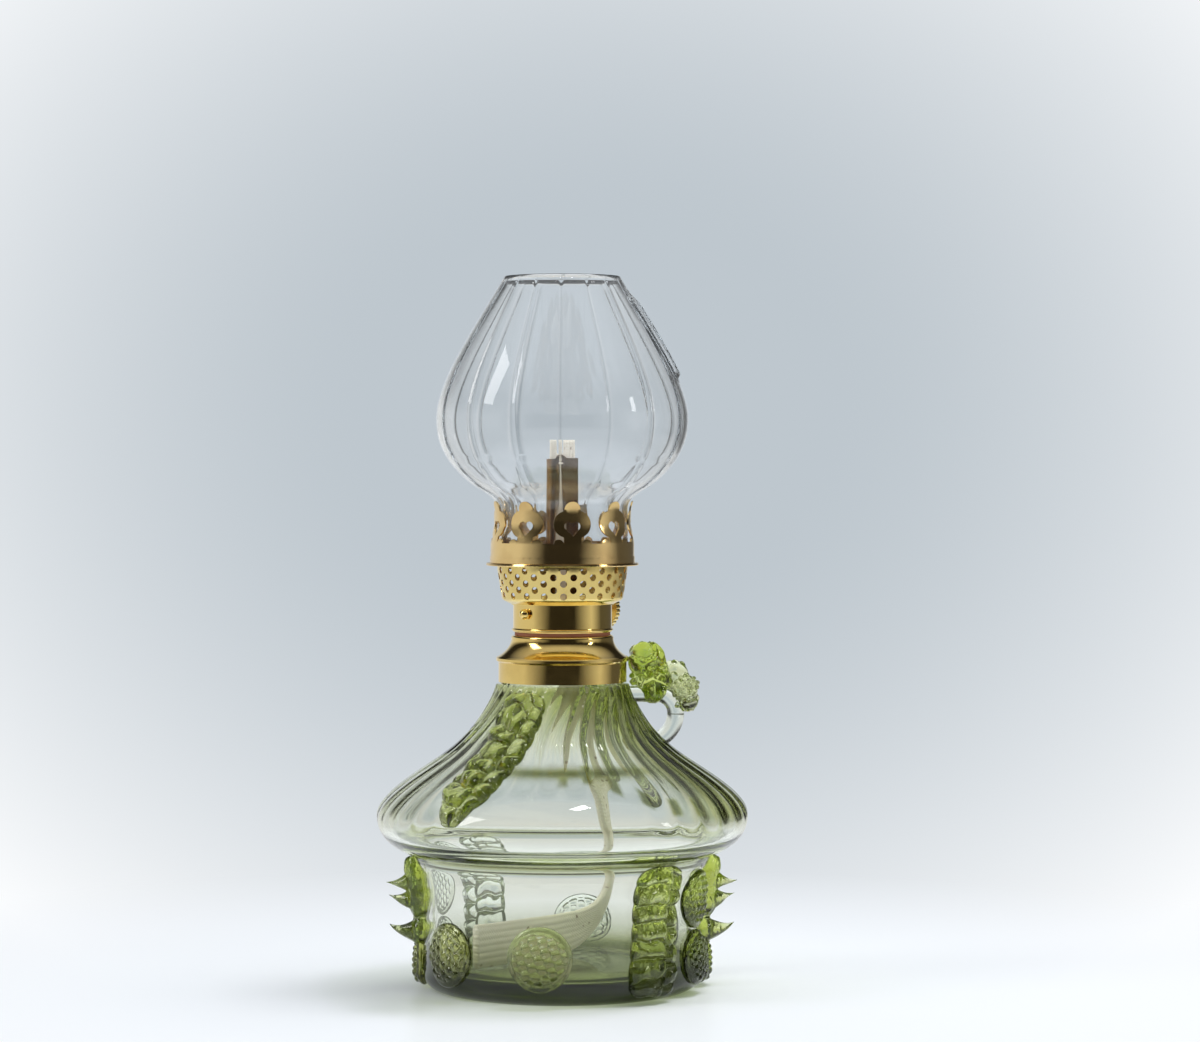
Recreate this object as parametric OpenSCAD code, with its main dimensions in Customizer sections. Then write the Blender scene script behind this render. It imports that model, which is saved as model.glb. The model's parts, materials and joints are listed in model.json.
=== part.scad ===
// Table lamp for lamp oil: a blown font with applied ornament, a brass burner and a fluted chimney.
// The origin is the middle of the foot, +Z is up and the front faces -Y.
// An azimuth is measured from the front, and grows towards +X.

/* [Font] */
// Radius of the drum at half its height
drum_r = 43; // [40:0.5:48]
// Height of the drum, from the foot to the crease under the shoulder
drum_h = 42; // [38:0.5:50]
// How far the drum's top and bottom stand out past its middle
drum_flare = 0.6; // [0:0.1:1.2]
// How far the crease stands out past the drum's middle
crease_out = 3.5; // [2:0.1:5]
// Radius of the rounded edge of the foot
foot_round = 5.5; // [3:0.5:7]
// Radius of the shoulder at its widest
shoulder_r = 57.5; // [54:0.5:62]
// Height from the crease to the widest part of the shoulder
shoulder_rise = 11; // [9:0.5:14]
// Radius where the hollow neck curve turns into the round shoulder curve
turn_r = 38; // [34:0.5:42]
// Height from the widest part to that turn
turn_rise = 18.5; // [16:0.5:22]
// Height from the turn to the collar's lower edge
neck_rise = 22.5; // [20:0.5:26]
// Wall of the font
glass_wall = 2.4; // [1.8:0.1:3]
// Wall of the neck inside the collar
neck_wall = 2.5; // [2:0.1:3]
// Thickness of the bottom at its edge
bottom_t = 6.5; // [4:0.5:9]
// Height that the floor rises towards its middle
floor_dome = 1; // [0:0.1:2]
// Length of glass neck inside the collar
neck_stub = 8; // [6.5:0.1:8.4]

/* [Applied glass] */
// Radius of the small berries on the large prunts
berry_r = 1.7; // [1.2:0.1:2]
// How far a prunt stands out from the wall
prunt_rise = 3.4; // [2.5:0.1:5]
// Diameter of the largest prunts
prunt_d = 19.6; // [16:0.1:20]
// Radius of a crimped fold on the drum
drum_fold_r = 3.4; // [3:0.1:4]
// Radius of a crimped fold on the shoulder
shoulder_fold_r = 4.1; // [3.8:0.1:4.6]
// Length of a fold across a strip on the drum
drum_fold_w = 16.5; // [12:0.5:20]
// Length of a fold across a strip on the shoulder
shoulder_fold_w = 16.5; // [12:0.5:18]
// Folds in a strip on the drum
drum_folds = 7; // [5:1:8]
// Folds in a strip on the shoulder
shoulder_folds = 8; // [6:1:10]
// Length of a pulled thorn
thorn_l = 6.2; // [4:0.1:8]
// Radius of a thorn's root
thorn_r = 2.3; // [1.5:0.1:3]
// Radius of the soft folds of a thorned strip
thorn_strip_r = 3.6; // [3.2:0.1:4]
// Width of a thorned strip
thorn_strip_w = 11; // [8:0.5:14]
// Angle that a strip on the shoulder leans over, from its lower to its upper end
shoulder_lean = 5; // [0:1:14]

/* [Handle] */
// Azimuth of the handle
handle_az = 105; // [90:1:120]
// Half thickness of the strap
strap_r = 2.6; // [2:0.1:3.2]
// Distance of the strap's outermost centre line from the lamp's axis
strap_reach = 36.6; // [35:0.1:40]
// Height of the upper arm's centre line below the collar's lower edge
arm_drop = 3.6; // [3.2:0.1:5]
// Radius of the strap's upper bend
upper_bend = 6.2; // [5:0.1:7]
// Radius of the strap's lower bend
lower_bend = 8.8; // [7:0.1:10]

/* [Collar] */
// Thickness of the cement between neck and collar
cement_t = 0.4; // [0.3:0.05:0.8]
// Sheet of the collar
collar_sheet = 0.6; // [0.5:0.05:0.8]
// Height of the plain band
band_h = 6.3; // [5:0.1:8]
// Height of the lip above the band
lip_h = 1.4; // [1:0.1:2]
// How far the lip stands out past the band
lip_out = 0.7; // [0.4:0.1:1.2]
// Height of the bell above the lip
bell_h = 6.7; // [6:0.1:8]
// Wall of the collar's thread ring
thread_wall = 1; // [0.8:0.1:1.4]
// Room between the thread ring and the glass neck
neck_room = 1.5; // [1:0.1:2]

/* [Burner] */
// Outer radius of the burner's thread
thread_r = 13.8; // [13:0.1:15]
// Running clearance of the thread
thread_gap = 0.08; // [0.05:0.01:0.1]
// Pitch of the thread
thread_pitch = 1.5; // [1.2:0.1:2]
// Length of the thread ring
thread_l = 9.9; // [8:0.1:10.5]
// Thickness of the seal washer
washer_t = 1; // [0.6:0.1:1.4]
// How far the burner's neck stands out past the thread
neck_out = 1.5; // [1.3:0.1:2]
// Height of the burner's neck
burner_neck_h = 9.4; // [9:0.1:11]
// Sheet of the burner's neck and plate
burner_sheet = 0.5; // [0.4:0.05:0.7]
// Outer radius of the basket's rim
basket_r = 20.2; // [19.6:0.1:20.8]
// How far the basket draws in towards its floor
basket_taper = 1.3; // [0.8:0.1:2]
// Height of the basket
basket_h = 12.3; // [12:0.1:14]
// Sheet of the basket
basket_sheet = 0.45; // [0.35:0.05:0.6]
// Radius of an air hole
air_hole_r = 1.05; // [0.7:0.05:1.1]
// Air holes in a row
air_holes = 20; // [14:2:20]
// Height from one row of air holes to the next
air_row = 1.95; // [1.8:0.05:2]

/* [Wick and works] */
// Width of the wick
wick_w = 14; // [11:0.5:15]
// Thickness of the wick
wick_t = 3; // [2.4:0.1:3.4]
// Angle that the wick's tail twists on its way down
tail_twist = 28; // [0:1:40]
// Play of the wick in its tube, each side in its width
wick_side_play = 0.2; // [0.15:0.05:0.4]
// Play of the wick in its tube, each side in its thickness
wick_face_play = 0.3; // [0.2:0.05:0.5]
// Wall of the wick tube
tube_wall = 0.5; // [0.4:0.05:0.7]
// Height of the wick tube above the burner's neck
tube_rise = 43.7; // [38:0.1:48]
// Height of the wick above its tube
wick_show = 6.1; // [2:0.1:8]
// Direction of the spindle in plan, from +X
spindle_angle = 60; // [40:1:80]
// Radius of the spindle
spindle_r = 0.9; // [0.7:0.05:1.1]
// Running clearance of the spindle
spindle_gap = 0.05; // [0.02:0.01:0.1]
// Radius of a star wheel over its teeth
star_r = 2.8; // [2.5:0.1:3]
// Room between the teeth and the wick
star_gap = 0.12; // [0.1:0.02:0.3]
// Distance of a star wheel from the middle of the wick
star_x = 3.6; // [3:0.1:4.2]
// Thickness of a star wheel
star_t = 1.6; // [1.2:0.1:2]
// Radius of the thumbwheel
thumb_r = 7; // [6:0.1:8]
// Thickness of the thumbwheel
thumb_t = 2.2; // [1.8:0.1:3]
// Distance from the lamp's axis to the thumbwheel's inner face
thumb_x = 30.2; // [26:0.1:34]
// Notches round the thumbwheel
thumb_notches = 32; // [24:2:40]
// Radius of the spindle's round head
head_r = 1.6; // [1.3:0.1:2]

/* [Gallery] */
// Radius of the gallery's flange
flange_r = 23.7; // [23.3:0.1:25]
// Thickness of the flange
flange_t = 0.65; // [0.5:0.05:0.8]
// Radius of the crown's band
crown_r = 22.3; // [22.1:0.1:22.8]
// Height of the crown's band
crown_band_h = 6.6; // [5.5:0.1:7.5]
// Sheet of the crown
crown_sheet = 0.5; // [0.4:0.05:0.6]
// Prongs of the crown
prongs = 9; // [7:1:9]
// Width of a prong's bud
bud_w = 11.5; // [10:0.1:12]
// Radius of a bud's round ends
bud_r = 4.1; // [3.6:0.1:4.4]
// Width of a prong's tab
tab_w = 4.9; // [4:0.1:5.5]
// Azimuth of the first prong
prong_turn = 8.3; // [0:0.1:20]
// Height of the heart in a prong's bud
heart_h = 4.6; // [4:0.1:5]

/* [Chimney] */
// Outer radius of the chimney's fitter
fitter_r = 20.3; // [19.8:0.1:20.4]
// Height of the straight fitter
fitter_h = 16.3; // [15.6:0.1:17]
// Radius of the chimney at its widest
bulb_r = 39.2; // [36:0.1:42]
// Height from the fitter to the widest part
bulb_rise = 27.5; // [24:0.5:32]
// Height from the widest part to the rim
top_rise = 44.5; // [38:0.5:50]
// Radius of the rim
rim_r = 18; // [16:0.1:20]
// Wall of the chimney
chimney_wall = 1.2; // [1:0.1:1.8]

/* [Hidden] */
far_prunt_share = 0.195;
far_prunt_part = 0.694;
lower_prunt_share = 0.276;
upper_prunt_share = lower_prunt_share + ((0.918 + 0.852) / 2 * prunt_d + 0.45) / drum_h;
prunt_root = 3;
clear_through = 40;
RASPBERRIES = [
    // name, azimuth, height of the middle as a share of the drum, diameter as a share of the largest
    ["prunt_front", -9, 0.348, 1],
    ["prunt_front_left", -52, 0.326, 0.985],
    ["prunt_far_left", -90, far_prunt_share, far_prunt_part],
    ["prunt_right_upper", 68, upper_prunt_share, 0.918],
    ["prunt_right_lower", 68, lower_prunt_share, 0.852],
    ["prunt_back", 171, 0.348, 1],
    ["prunt_back_right", 128, 0.326, 0.985],
    ["prunt_far_right", 94, far_prunt_share, far_prunt_part],
    ["prunt_back_left_upper", 248, upper_prunt_share, 0.918],
    ["prunt_back_left_lower", 248, lower_prunt_share, 0.852],
];

pale_green = [0.72, 0.78, 0.66];
olive = [0.45, 0.55, 0.2];
clear = [0.85, 0.9, 0.88];
brass = [0.83, 0.66, 0.3];
round_fn = 96;
small_fn = 32;
curve_steps = 9;
seat_gap = 0.05;
lower_bend_angle = 58;
spindle_hole_play = 0.3;

// Derived radii, from the thread outwards
collar_bore_r = thread_r + thread_gap;
collar_thread_r = collar_bore_r + thread_wall;
neck_bore_r = collar_thread_r + neck_room;
seat_r = neck_bore_r + neck_wall;
cement_r = seat_r + cement_t;
band_r = cement_r + collar_sheet;
neck_r = band_r + 0.5;
crease_r = drum_r + crease_out;
foot_r = drum_r + drum_flare;
burner_neck_r = thread_r + neck_out;

// Derived heights, from the foot up
shoulder_z = drum_h + shoulder_rise;
turn_z = shoulder_z + turn_rise;
neck_z = turn_z + neck_rise;
band_z = neck_z + 0.8;
lip_z = band_z + band_h;
bell_z = lip_z + lip_h;
collar_z = bell_z + bell_h;
washer_z = collar_z + seat_gap;
burner_z = washer_z + washer_t + seat_gap;
plate_z = burner_z + burner_neck_h - burner_sheet;
basket_z = plate_z - burner_sheet;
basket_top = basket_z + basket_h;
flange_z = basket_top + seat_gap;
crown_z = flange_z + flange_t;
crown_band_z = crown_z + crown_band_h;
chimney_z = crown_z + 2 * seat_gap;
fitter_z = chimney_z + fitter_h;
bulb_z = fitter_z + bulb_rise;
chimney_top = bulb_z + top_rise;
spindle_z = plate_z - star_r - 0.35;
tube_z = spindle_z - star_r - 1.2;
tube_top = burner_z + burner_neck_h + tube_rise;
wick_z = burner_z + 0.2;
wick_top_z = tube_top + wick_show;

// Derived plan of the works, in the frame whose X runs along the spindle
tube_w = wick_w + 2 * (wick_side_play + tube_wall);
tube_d = wick_t + 2 * (wick_face_play + tube_wall);
spindle_y = wick_t / 2 + star_gap + star_r;
neck_inner_r = burner_neck_r - burner_sheet;
cage_x = star_x + star_t / 2 + 1.4;
cage_y = spindle_y + star_r + 0.4 + tube_wall;
bush_r = spindle_r + spindle_gap + 1;
head_x = -burner_neck_r - 0.15;

function mix(a, b, share) = a + (b - a) * share;
// A round curve from a to b. c and d place its two control points as shares of the way in r and in z.
function between(a, b, share) = [a[0] + (b[0] - a[0]) * share[0], a[1] + (b[1] - a[1]) * share[1]];
function curve(a, b, c, d) =
    let (p = between(a, b, c), q = between(a, b, d))
    [for (i = [0 : curve_steps - 1])
        let (t = i / curve_steps, s = 1 - t)
        s * s * s * a + 3 * s * s * t * p + 3 * s * t * t * q + t * t * t * b];
// An arc of a circle, with both its ends
function arc(centre, r, from, to, n) =
    [for (i = [0 : n]) let (w = from + (to - from) * i / n) centre + r * [cos(w), sin(w)]];
// The line moved towards the axis by d, for a line that runs downwards
function inset(line, d) =
    [for (i = [0 : len(line) - 1])
        let (a = line[max(i - 1, 0)], b = line[min(i + 1, len(line) - 1)], t = (b - a) / norm(b - a))
        line[i] + d * [t[1], -t[0]]];
function backwards(line) = [for (i = [len(line) - 1 : -1 : 0]) line[i]];
function skin(line, d) = concat(line, backwards(inset(line, d)));

// Outline of the font below the collar, from the neck down to the foot's rounded edge
font_line = concat(
    curve([neck_r, neck_z], [turn_r, turn_z], [0.205, 0.467], [0.58, 0.782]),
    curve([turn_r, turn_z], [shoulder_r, shoulder_z], [0.41, 0.297], [1.02, 0.643]),
    curve([shoulder_r, shoulder_z], [crease_r, drum_h], [0, 0.527], [0.5, 0.909]),
    curve([crease_r, drum_h], [drum_r, drum_h - 14], [0.286, 0.208], [0.943, 0.5]),
    [[drum_r, drum_h - 14], [drum_r, drum_h - 20]]
);
foot_line = arc([foot_r - foot_round, foot_round], foot_round, 0, -90, 6);
// Outline of the chimney, from the rim down to the straight fitter
fitter_turn = [fitter_r + (bulb_r - fitter_r) * 0.386, fitter_z + bulb_rise * 0.265];
chimney_line = concat(
    curve([rim_r, chimney_top], [bulb_r, bulb_z], [0.472, 0.382], [1.014, 0.742]),
    curve([bulb_r, bulb_z], fitter_turn, [0, 0.396], [0.38, 0.738]),
    curve(fitter_turn, [fitter_r, fitter_z], [0.65, 0.38], [1, 0.55]),
    [[fitter_r, fitter_z], [fitter_r, chimney_z]]
);
font_by_height = [for (p = concat(font_line, foot_line)) [p[1], p[0]]];
function wall_r(z) = lookup(z, font_by_height);

module turned(line, fn = round_fn) {
    rotate_extrude($fn = fn) polygon(line);
}
// Puts local +X along an azimuth
module at(azimuth) {
    rotate([0, 0, azimuth - 90]) children();
}
module works() {
    rotate([0, 0, spindle_angle]) children();
}
module along_spindle(x, l, r, fn = small_fn) {
    translate([x, spindle_y, spindle_z]) rotate([0, 90, 0]) cylinder(h = l, r = r, $fn = fn);
}
module font_solid() {
    turned(concat([[0, neck_z], [neck_r, neck_z]], font_line, foot_line, [[0, 0]]));
}
// What is applied to the font ends on its surface
module applied() {
    difference() {
        children();
        font_solid();
    }
}

// The vessel
inner_line = [for (p = inset(font_line, glass_wall)) if (p[1] < neck_z - 3) p];
inner_r = drum_r - glass_wall;
module font() {
    color(pale_green, 0.5) difference() {
        union() {
            font_solid();
            translate([0, 0, neck_z - 1]) cylinder(h = neck_stub + 1, r = seat_r, $fn = round_fn);
        }
        turned(concat(
            [[0, neck_z + neck_stub + 1], [neck_bore_r, neck_z + neck_stub + 1], [neck_bore_r, neck_z]],
            inner_line,
            [[inner_r, bottom_t + 4], [inner_r - 1.2, bottom_t + 1.2], [inner_r - 4, bottom_t]],
            [[inner_r * 0.6, bottom_t + floor_dome * 0.6], [0, bottom_t + floor_dome]]
        ));
    }
}

// A raspberry prunt: a low dome with a middle berry and two rings of berries round it
module raspberry(azimuth, z, d) {
    dome_r = (d * d / 4 + prunt_rise * prunt_rise) / (2 * prunt_rise);
    berry = berry_r * d / prunt_d;
    color(olive, 0.8) applied() at(azimuth) translate([wall_r(z), 0, z]) rotate([0, 90, 0]) {
        intersection() {
            translate([0, 0, prunt_rise - berry * 0.5 - dome_r]) sphere(r = dome_r, $fn = round_fn);
            translate([0, 0, -prunt_root]) cylinder(h = prunt_rise + prunt_root, r = d / 2, $fn = 48);
        }
        for (ring = [0 : 2], i = [0 : max(ring * 6 - 1, 0)]) {
            reach = ring * d * 0.19;
            turn = i * 60 / max(ring, 1) + ring * 15;
            drop = dome_r - sqrt(dome_r * dome_r - reach * reach);
            translate([reach * cos(turn), reach * sin(turn), prunt_rise - drop - berry * 0.75])
                sphere(r = berry, $fn = 24);
        }
    }
}

// One pinched fold, lying across a strip
module fold(w, r) {
    rotate([90, 0, 0]) translate([0, 0, -w / 2 + r]) {
        cylinder(h = w - 2 * r, r = r, $fn = 24);
        sphere(r = r, $fn = 24);
        translate([0, 0, w - 2 * r]) sphere(r = r, $fn = 24);
    }
}
module drum_strip(azimuth) {
    low = foot_round + 0.7;
    high = drum_h - 3;
    color(olive, 0.8) applied() at(azimuth) for (i = [0 : drum_folds - 1]) {
        z = low + (high - low) * i / (drum_folds - 1);
        swell = 1 - 0.14 * sin(i * 360 / (drum_folds - 1));
        translate([wall_r(z) - drum_fold_r * 0.1, 0, z]) fold(drum_fold_w * swell, drum_fold_r);
    }
}
// Lengths up the wall from a low height, each with the height that it reaches
function wall_runs(low, high, n = 20) =
    let (d = (high - low) / n)
    [for (i = 0, run = 0;
        i <= n;
        run = run + norm([wall_r(low + i * d + d) - wall_r(low + i * d), d]), i = i + 1)
        [run, low + i * d]];
module shoulder_strip(azimuth) {
    runs = wall_runs(shoulder_z + 3.5, neck_z - 4);
    color(olive, 0.8) applied() for (i = [0 : shoulder_folds - 1]) {
        share = i / (shoulder_folds - 1);
        z = lookup(share * runs[len(runs) - 1][0], runs);
        slope = atan2(wall_r(z - 2) - wall_r(z + 2), 4);
        at(azimuth + shoulder_lean * (share - 1)) translate([wall_r(z), 0, z]) rotate([0, -slope, 0])
            translate([-shoulder_fold_r * 0.2, 0, 0]) fold(shoulder_fold_w - 3 * share, shoulder_fold_r);
    }
}

// A trail laid up the wall, with thorns pulled out of it, whose lower end a prunt presses into
module thorn_strip(azimuth) {
    thorns = [drum_h * 0.4, drum_h * 0.63, drum_h * 0.79];
    color(olive, 0.8) applied() at(azimuth) difference() {
        union() {
            for (z = [drum_h * 0.4 : drum_h * 0.13 : drum_h * 0.93])
                translate([wall_r(z) + thorn_strip_r / 3, 0, z]) fold(thorn_strip_w, thorn_strip_r);
            for (z = thorns)
                translate([wall_r(z) + thorn_strip_r / 3, 0, z]) rotate([0, 90 - 12, 0])
                    cylinder(h = thorn_l + thorn_strip_r, r1 = thorn_r * 1.3, r2 = 0.25, $fn = small_fn);
        }
        translate([drum_r - prunt_root, 0, drum_h * far_prunt_share]) rotate([0, 90, 0])
            cylinder(h = prunt_root * 2 + prunt_rise, r = prunt_d * far_prunt_part / 2 + 0.05, $fn = 48);
    }
}

// The handle, in its own plane: X out from the lamp's axis, Z up
arm_z = neck_z - arm_drop;
bend_x = strap_reach - upper_bend;
bend_z = arm_z - upper_bend;
module strap_rod() {
    at(handle_az) {
        translate([neck_r - 2, 0, arm_z]) rotate([0, 90, 0])
            cylinder(h = bend_x - neck_r + 2, r = strap_r, $fn = small_fn);
        translate([bend_x, 0, bend_z]) rotate([90, 0, 0])
            rotate_extrude(angle = 90, $fn = 64)
                translate([upper_bend, 0]) circle(r = strap_r, $fn = small_fn);
        translate([strap_reach, 0, bend_z]) sphere(r = strap_r + 0.08, $fn = small_fn);
        translate([strap_reach - lower_bend, 0, bend_z]) rotate([90, 0, 0]) rotate([0, 0, -lower_bend_angle])
            rotate_extrude(angle = lower_bend_angle, $fn = 64)
                translate([lower_bend, 0]) circle(r = strap_r, $fn = small_fn);
        translate([strap_reach - lower_bend, 0, bend_z]) rotate([0, lower_bend_angle, 0])
            translate([lower_bend, 0, -4]) cylinder(h = 4, r = strap_r, $fn = small_fn);
    }
}
module handle_strap() {
    color(clear, 0.6) applied() strap_rod();
}
// Balls of a lump: distance out, distance along the tangent, height above the arm, radius
rest_balls = [[-3.8, -2.6, 10.4, 5.2], [-2.9, 3, 11, 5], [-0.4, 0.2, 4.8, 5.1], [-3.4, 0.5, 5.6, 4.4]];
crest_balls = [[5.9, 0.4, 6, 4.6], [8.7, -1.6, 1.8, 4.6], [8.9, 2, 1.2, 4.4], [10, 0, -2.4, 3.9]];
module lump(balls) {
    at(handle_az) for (ball = balls)
        translate([bend_x + ball[0], ball[1], arm_z + ball[2]]) sphere(r = ball[3], $fn = small_fn);
}
module thumb_rest() {
    color(olive, 0.8) difference() {
        lump(rest_balls);
        strap_rod();
        translate([0, 0, band_z - 8]) cylinder(h = clear_through, r = band_r + lip_out + 0.4, $fn = round_fn);
    }
}
module handle_crest() {
    color(pale_green, 0.8) difference() {
        lump(crest_balls);
        strap_rod();
        lump(rest_balls);
    }
}

// Collar, cemented on the glass neck
glass_top = neck_z + neck_stub;
module collar_cement() {
    color("white") turned([
        [seat_r, band_z + 0.4], [cement_r, band_z + 0.4], [cement_r, glass_top + 0.2],
        [cement_r - 1, glass_top + 1], [collar_thread_r, glass_top + 1], [collar_thread_r, glass_top],
        [seat_r, glass_top],
    ]);
}
module collar_shell() {
    lip_r = band_r + lip_out;
    roll_r = collar_thread_r + 0.9;
    outer = concat(
        [[collar_bore_r + 0.3, collar_z], [roll_r - 0.9, collar_z]],
        arc([roll_r - 0.7, collar_z - 0.8], 0.8, 75, -10, 4),
        curve([roll_r + 0.1, collar_z - 1.6], [lip_r - 0.2, bell_z], [0.1, 0.45], [0.6, 0.85]),
        [[lip_r - 0.2, bell_z], [lip_r, bell_z - 0.3], [lip_r, lip_z + 0.3]],
        [[band_r, lip_z - 0.3], [band_r, band_z]]
    );
    color(brass) turned(skin(outer, collar_sheet));
}
module collar_thread() {
    top = collar_z - collar_sheet - 0.02;
    color(brass) turned([
        [collar_bore_r, collar_z - thread_l + 0.6], [collar_thread_r, collar_z - thread_l + 0.6],
        [collar_thread_r, glass_top + 1], [collar_thread_r + 2, glass_top + 1],
        [collar_thread_r + 2, glass_top + 1.6], [collar_thread_r, glass_top + 1.6],
        [collar_thread_r, top], [collar_bore_r, top],
    ]);
}
module seal_washer() {
    color([0.45, 0.2, 0.1]) difference() {
        translate([0, 0, washer_z]) cylinder(h = washer_t, r = thread_r + 1, $fn = round_fn);
        translate([0, 0, washer_z - 1]) cylinder(h = washer_t + 2, r = thread_r + thread_gap, $fn = round_fn);
    }
}

// Burner
module burner_thread() {
    top = burner_z + burner_sheet;
    low = top - thread_l;
    turns = floor((thread_l - 3) / thread_pitch);
    color(brass) turned(concat(
        [[thread_r - 0.9, low], [thread_r - 0.4, low], [thread_r, low + 0.5]],
        [for (i = [0 : turns - 1], k = [0.3, 0.65, 1])
            [thread_r - (k == 0.65 ? 0.35 : 0), low + 0.5 + (i + k) * thread_pitch]],
        [[thread_r, top], [thread_r - 0.9, top]]
    ));
}
module burner_neck() {
    rim_z = burner_z + burner_neck_h;
    color(brass) difference() {
        turned(concat(
            [[thread_r, burner_z], [burner_neck_r, burner_z]],
            arc([burner_neck_r, burner_z + 0.65], 0.45, -80, 80, 6),
            [[burner_neck_r, burner_z + 1.3], [burner_neck_r, rim_z], [neck_inner_r, rim_z]],
            [[neck_inner_r, burner_z + burner_sheet], [thread_r, burner_z + burner_sheet]]
        ));
        works() {
            along_spindle(neck_inner_r - 4, 8, bush_r);
            along_spindle(-burner_neck_r - 4, 8, spindle_r + spindle_hole_play);
        }
    }
}
module stadium(w, d) {
    square([w - d, d], center = true);
    for (side = [-1, 1]) translate([side * (w - d) / 2, 0]) circle(r = d / 2, $fn = small_fn);
}
module tube_plate() {
    color(brass) translate([0, 0, plate_z]) linear_extrude(burner_sheet) difference() {
        circle(r = neck_inner_r, $fn = round_fn);
        rotate([0, 0, spindle_angle]) stadium(tube_w, tube_d);
    }
}
module wick_tube() {
    color(brass) works() difference() {
        translate([0, 0, tube_z]) linear_extrude(tube_top - tube_z) difference() {
            stadium(tube_w, tube_d);
            stadium(tube_w - 2 * tube_wall, tube_d - 2 * tube_wall);
        }
        for (side = [-1, 1])
            translate([side * star_x - star_t / 2 - 0.4, wick_t / 2, spindle_z - star_r - 0.3])
                cube([star_t + 0.8, 4, 2 * star_r + 0.6]);
    }
}
module wheel_cage() {
    wall = tube_wall;
    color(brass) works() difference() {
        translate([-cage_x, tube_d / 2, tube_z + 0.4])
            cube([2 * cage_x, cage_y - tube_d / 2, plate_z - tube_z - 0.4]);
        translate([-cage_x + wall, 0, tube_z + 0.4 + wall])
            cube([2 * (cage_x - wall), cage_y - wall, plate_z - tube_z]);
        along_spindle(-cage_x - 1, 2 * cage_x + 2, spindle_r + spindle_gap);
    }
}
module spindle_bush() {
    inner_x = sqrt(pow(neck_inner_r, 2) - pow(spindle_y + bush_r, 2)) - 0.6;
    color(brass) works() difference() {
        along_spindle(inner_x, burner_neck_r + 2.6 - inner_x, bush_r);
        along_spindle(inner_x - 1, 20, spindle_r + spindle_gap);
    }
}
// The basket: a drawn cup with staggered rows of round holes
module air_basket() {
    floor_r = basket_r - basket_taper;
    outer = concat(
        [[basket_r, basket_top], [basket_r, basket_top - 1.4]],
        arc([floor_r - 1.6, basket_z + 2.6], 1.6, -8, -62, 5),
        [[burner_neck_r + 0.25, basket_z]]
    );
    color(brass) difference() {
        union() {
            turned(skin(outer, basket_sheet));
            translate([0, 0, basket_z]) difference() {
                cylinder(h = basket_sheet, r = burner_neck_r + 0.6, $fn = round_fn);
                translate([0, 0, -1]) cylinder(h = 4, r = burner_neck_r, $fn = round_fn);
            }
        }
        for (row = [0 : 4], i = [0 : air_holes - 1])
            at((i + (row % 2) / 2) * 360 / air_holes + 1)
                translate([floor_r - 1.5, 0, basket_top - 1.55 - row * air_row]) rotate([0, 90, 0])
                    cylinder(h = basket_taper + 3, r = air_hole_r, $fn = small_fn);
    }
}

// Wick winder
module spindle() {
    color(brass) works() along_spindle(head_x, thumb_x + thumb_t - head_x, spindle_r);
}
module star_wheel(side) {
    color(brass) works() translate([side * star_x, spindle_y, spindle_z]) rotate([0, 90, 0])
        translate([0, 0, -star_t / 2]) linear_extrude(star_t) difference() {
            polygon([for (i = [0 : 15])
                (i % 2 == 0 ? star_r : star_r - 0.9) * [cos(i * 22.5), sin(i * 22.5)]]);
            circle(r = spindle_r, $fn = small_fn);
        }
}
module star_wheel_near() {
    star_wheel(-1);
}
module star_wheel_far() {
    star_wheel(1);
}
module spindle_head() {
    color(brass) works() translate([head_x, spindle_y, spindle_z]) rotate([0, -90, 0]) {
        cylinder(h = 0.5, r = head_r, $fn = small_fn);
        translate([0, 0, 0.5]) intersection() {
            translate([0, 0, -0.5]) sphere(r = norm([head_r, 0.5]), $fn = small_fn);
            cylinder(h = 3, r = head_r, $fn = small_fn);
        }
    }
}
module thumbwheel() {
    color(brass) works() difference() {
        along_spindle(thumb_x, thumb_t, thumb_r, 64);
        along_spindle(thumb_x - 1, thumb_t + 2, spindle_r);
        for (side = [0, 1])
            along_spindle(thumb_x + (side == 0 ? -1 : thumb_t - 0.4), 1.4, thumb_r - 1.4, 48);
        for (i = [0 : thumb_notches - 1])
            translate([thumb_x - 1, spindle_y, spindle_z]) rotate([i * 360 / thumb_notches, 0, 0])
                translate([0, thumb_r + 0.15, 0]) rotate([0, 90, 0])
                    cylinder(h = thumb_t + 2, r = 0.45, $fn = 16);
    }
}
module thumbwheel_rivet() {
    color(brass) works() difference() {
        union() {
            along_spindle(thumb_x - 1.1, thumb_t - 0.4 + 1.1 + 0.8, 2.4);
            translate([thumb_x + thumb_t - 0.4 + 0.8, spindle_y, spindle_z]) sphere(r = 1.3, $fn = small_fn);
        }
        along_spindle(thumb_x - 2, thumb_t + 2, spindle_r);
        along_spindle(thumb_x + 0.4, thumb_t - 0.8, thumb_r);
    }
}

// Wick
module wick_top() {
    color([0.93, 0.88, 0.78]) works() translate([0, 0, wick_z]) linear_extrude(wick_top_z - wick_z)
        stadium(wick_w, wick_t);
}
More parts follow.
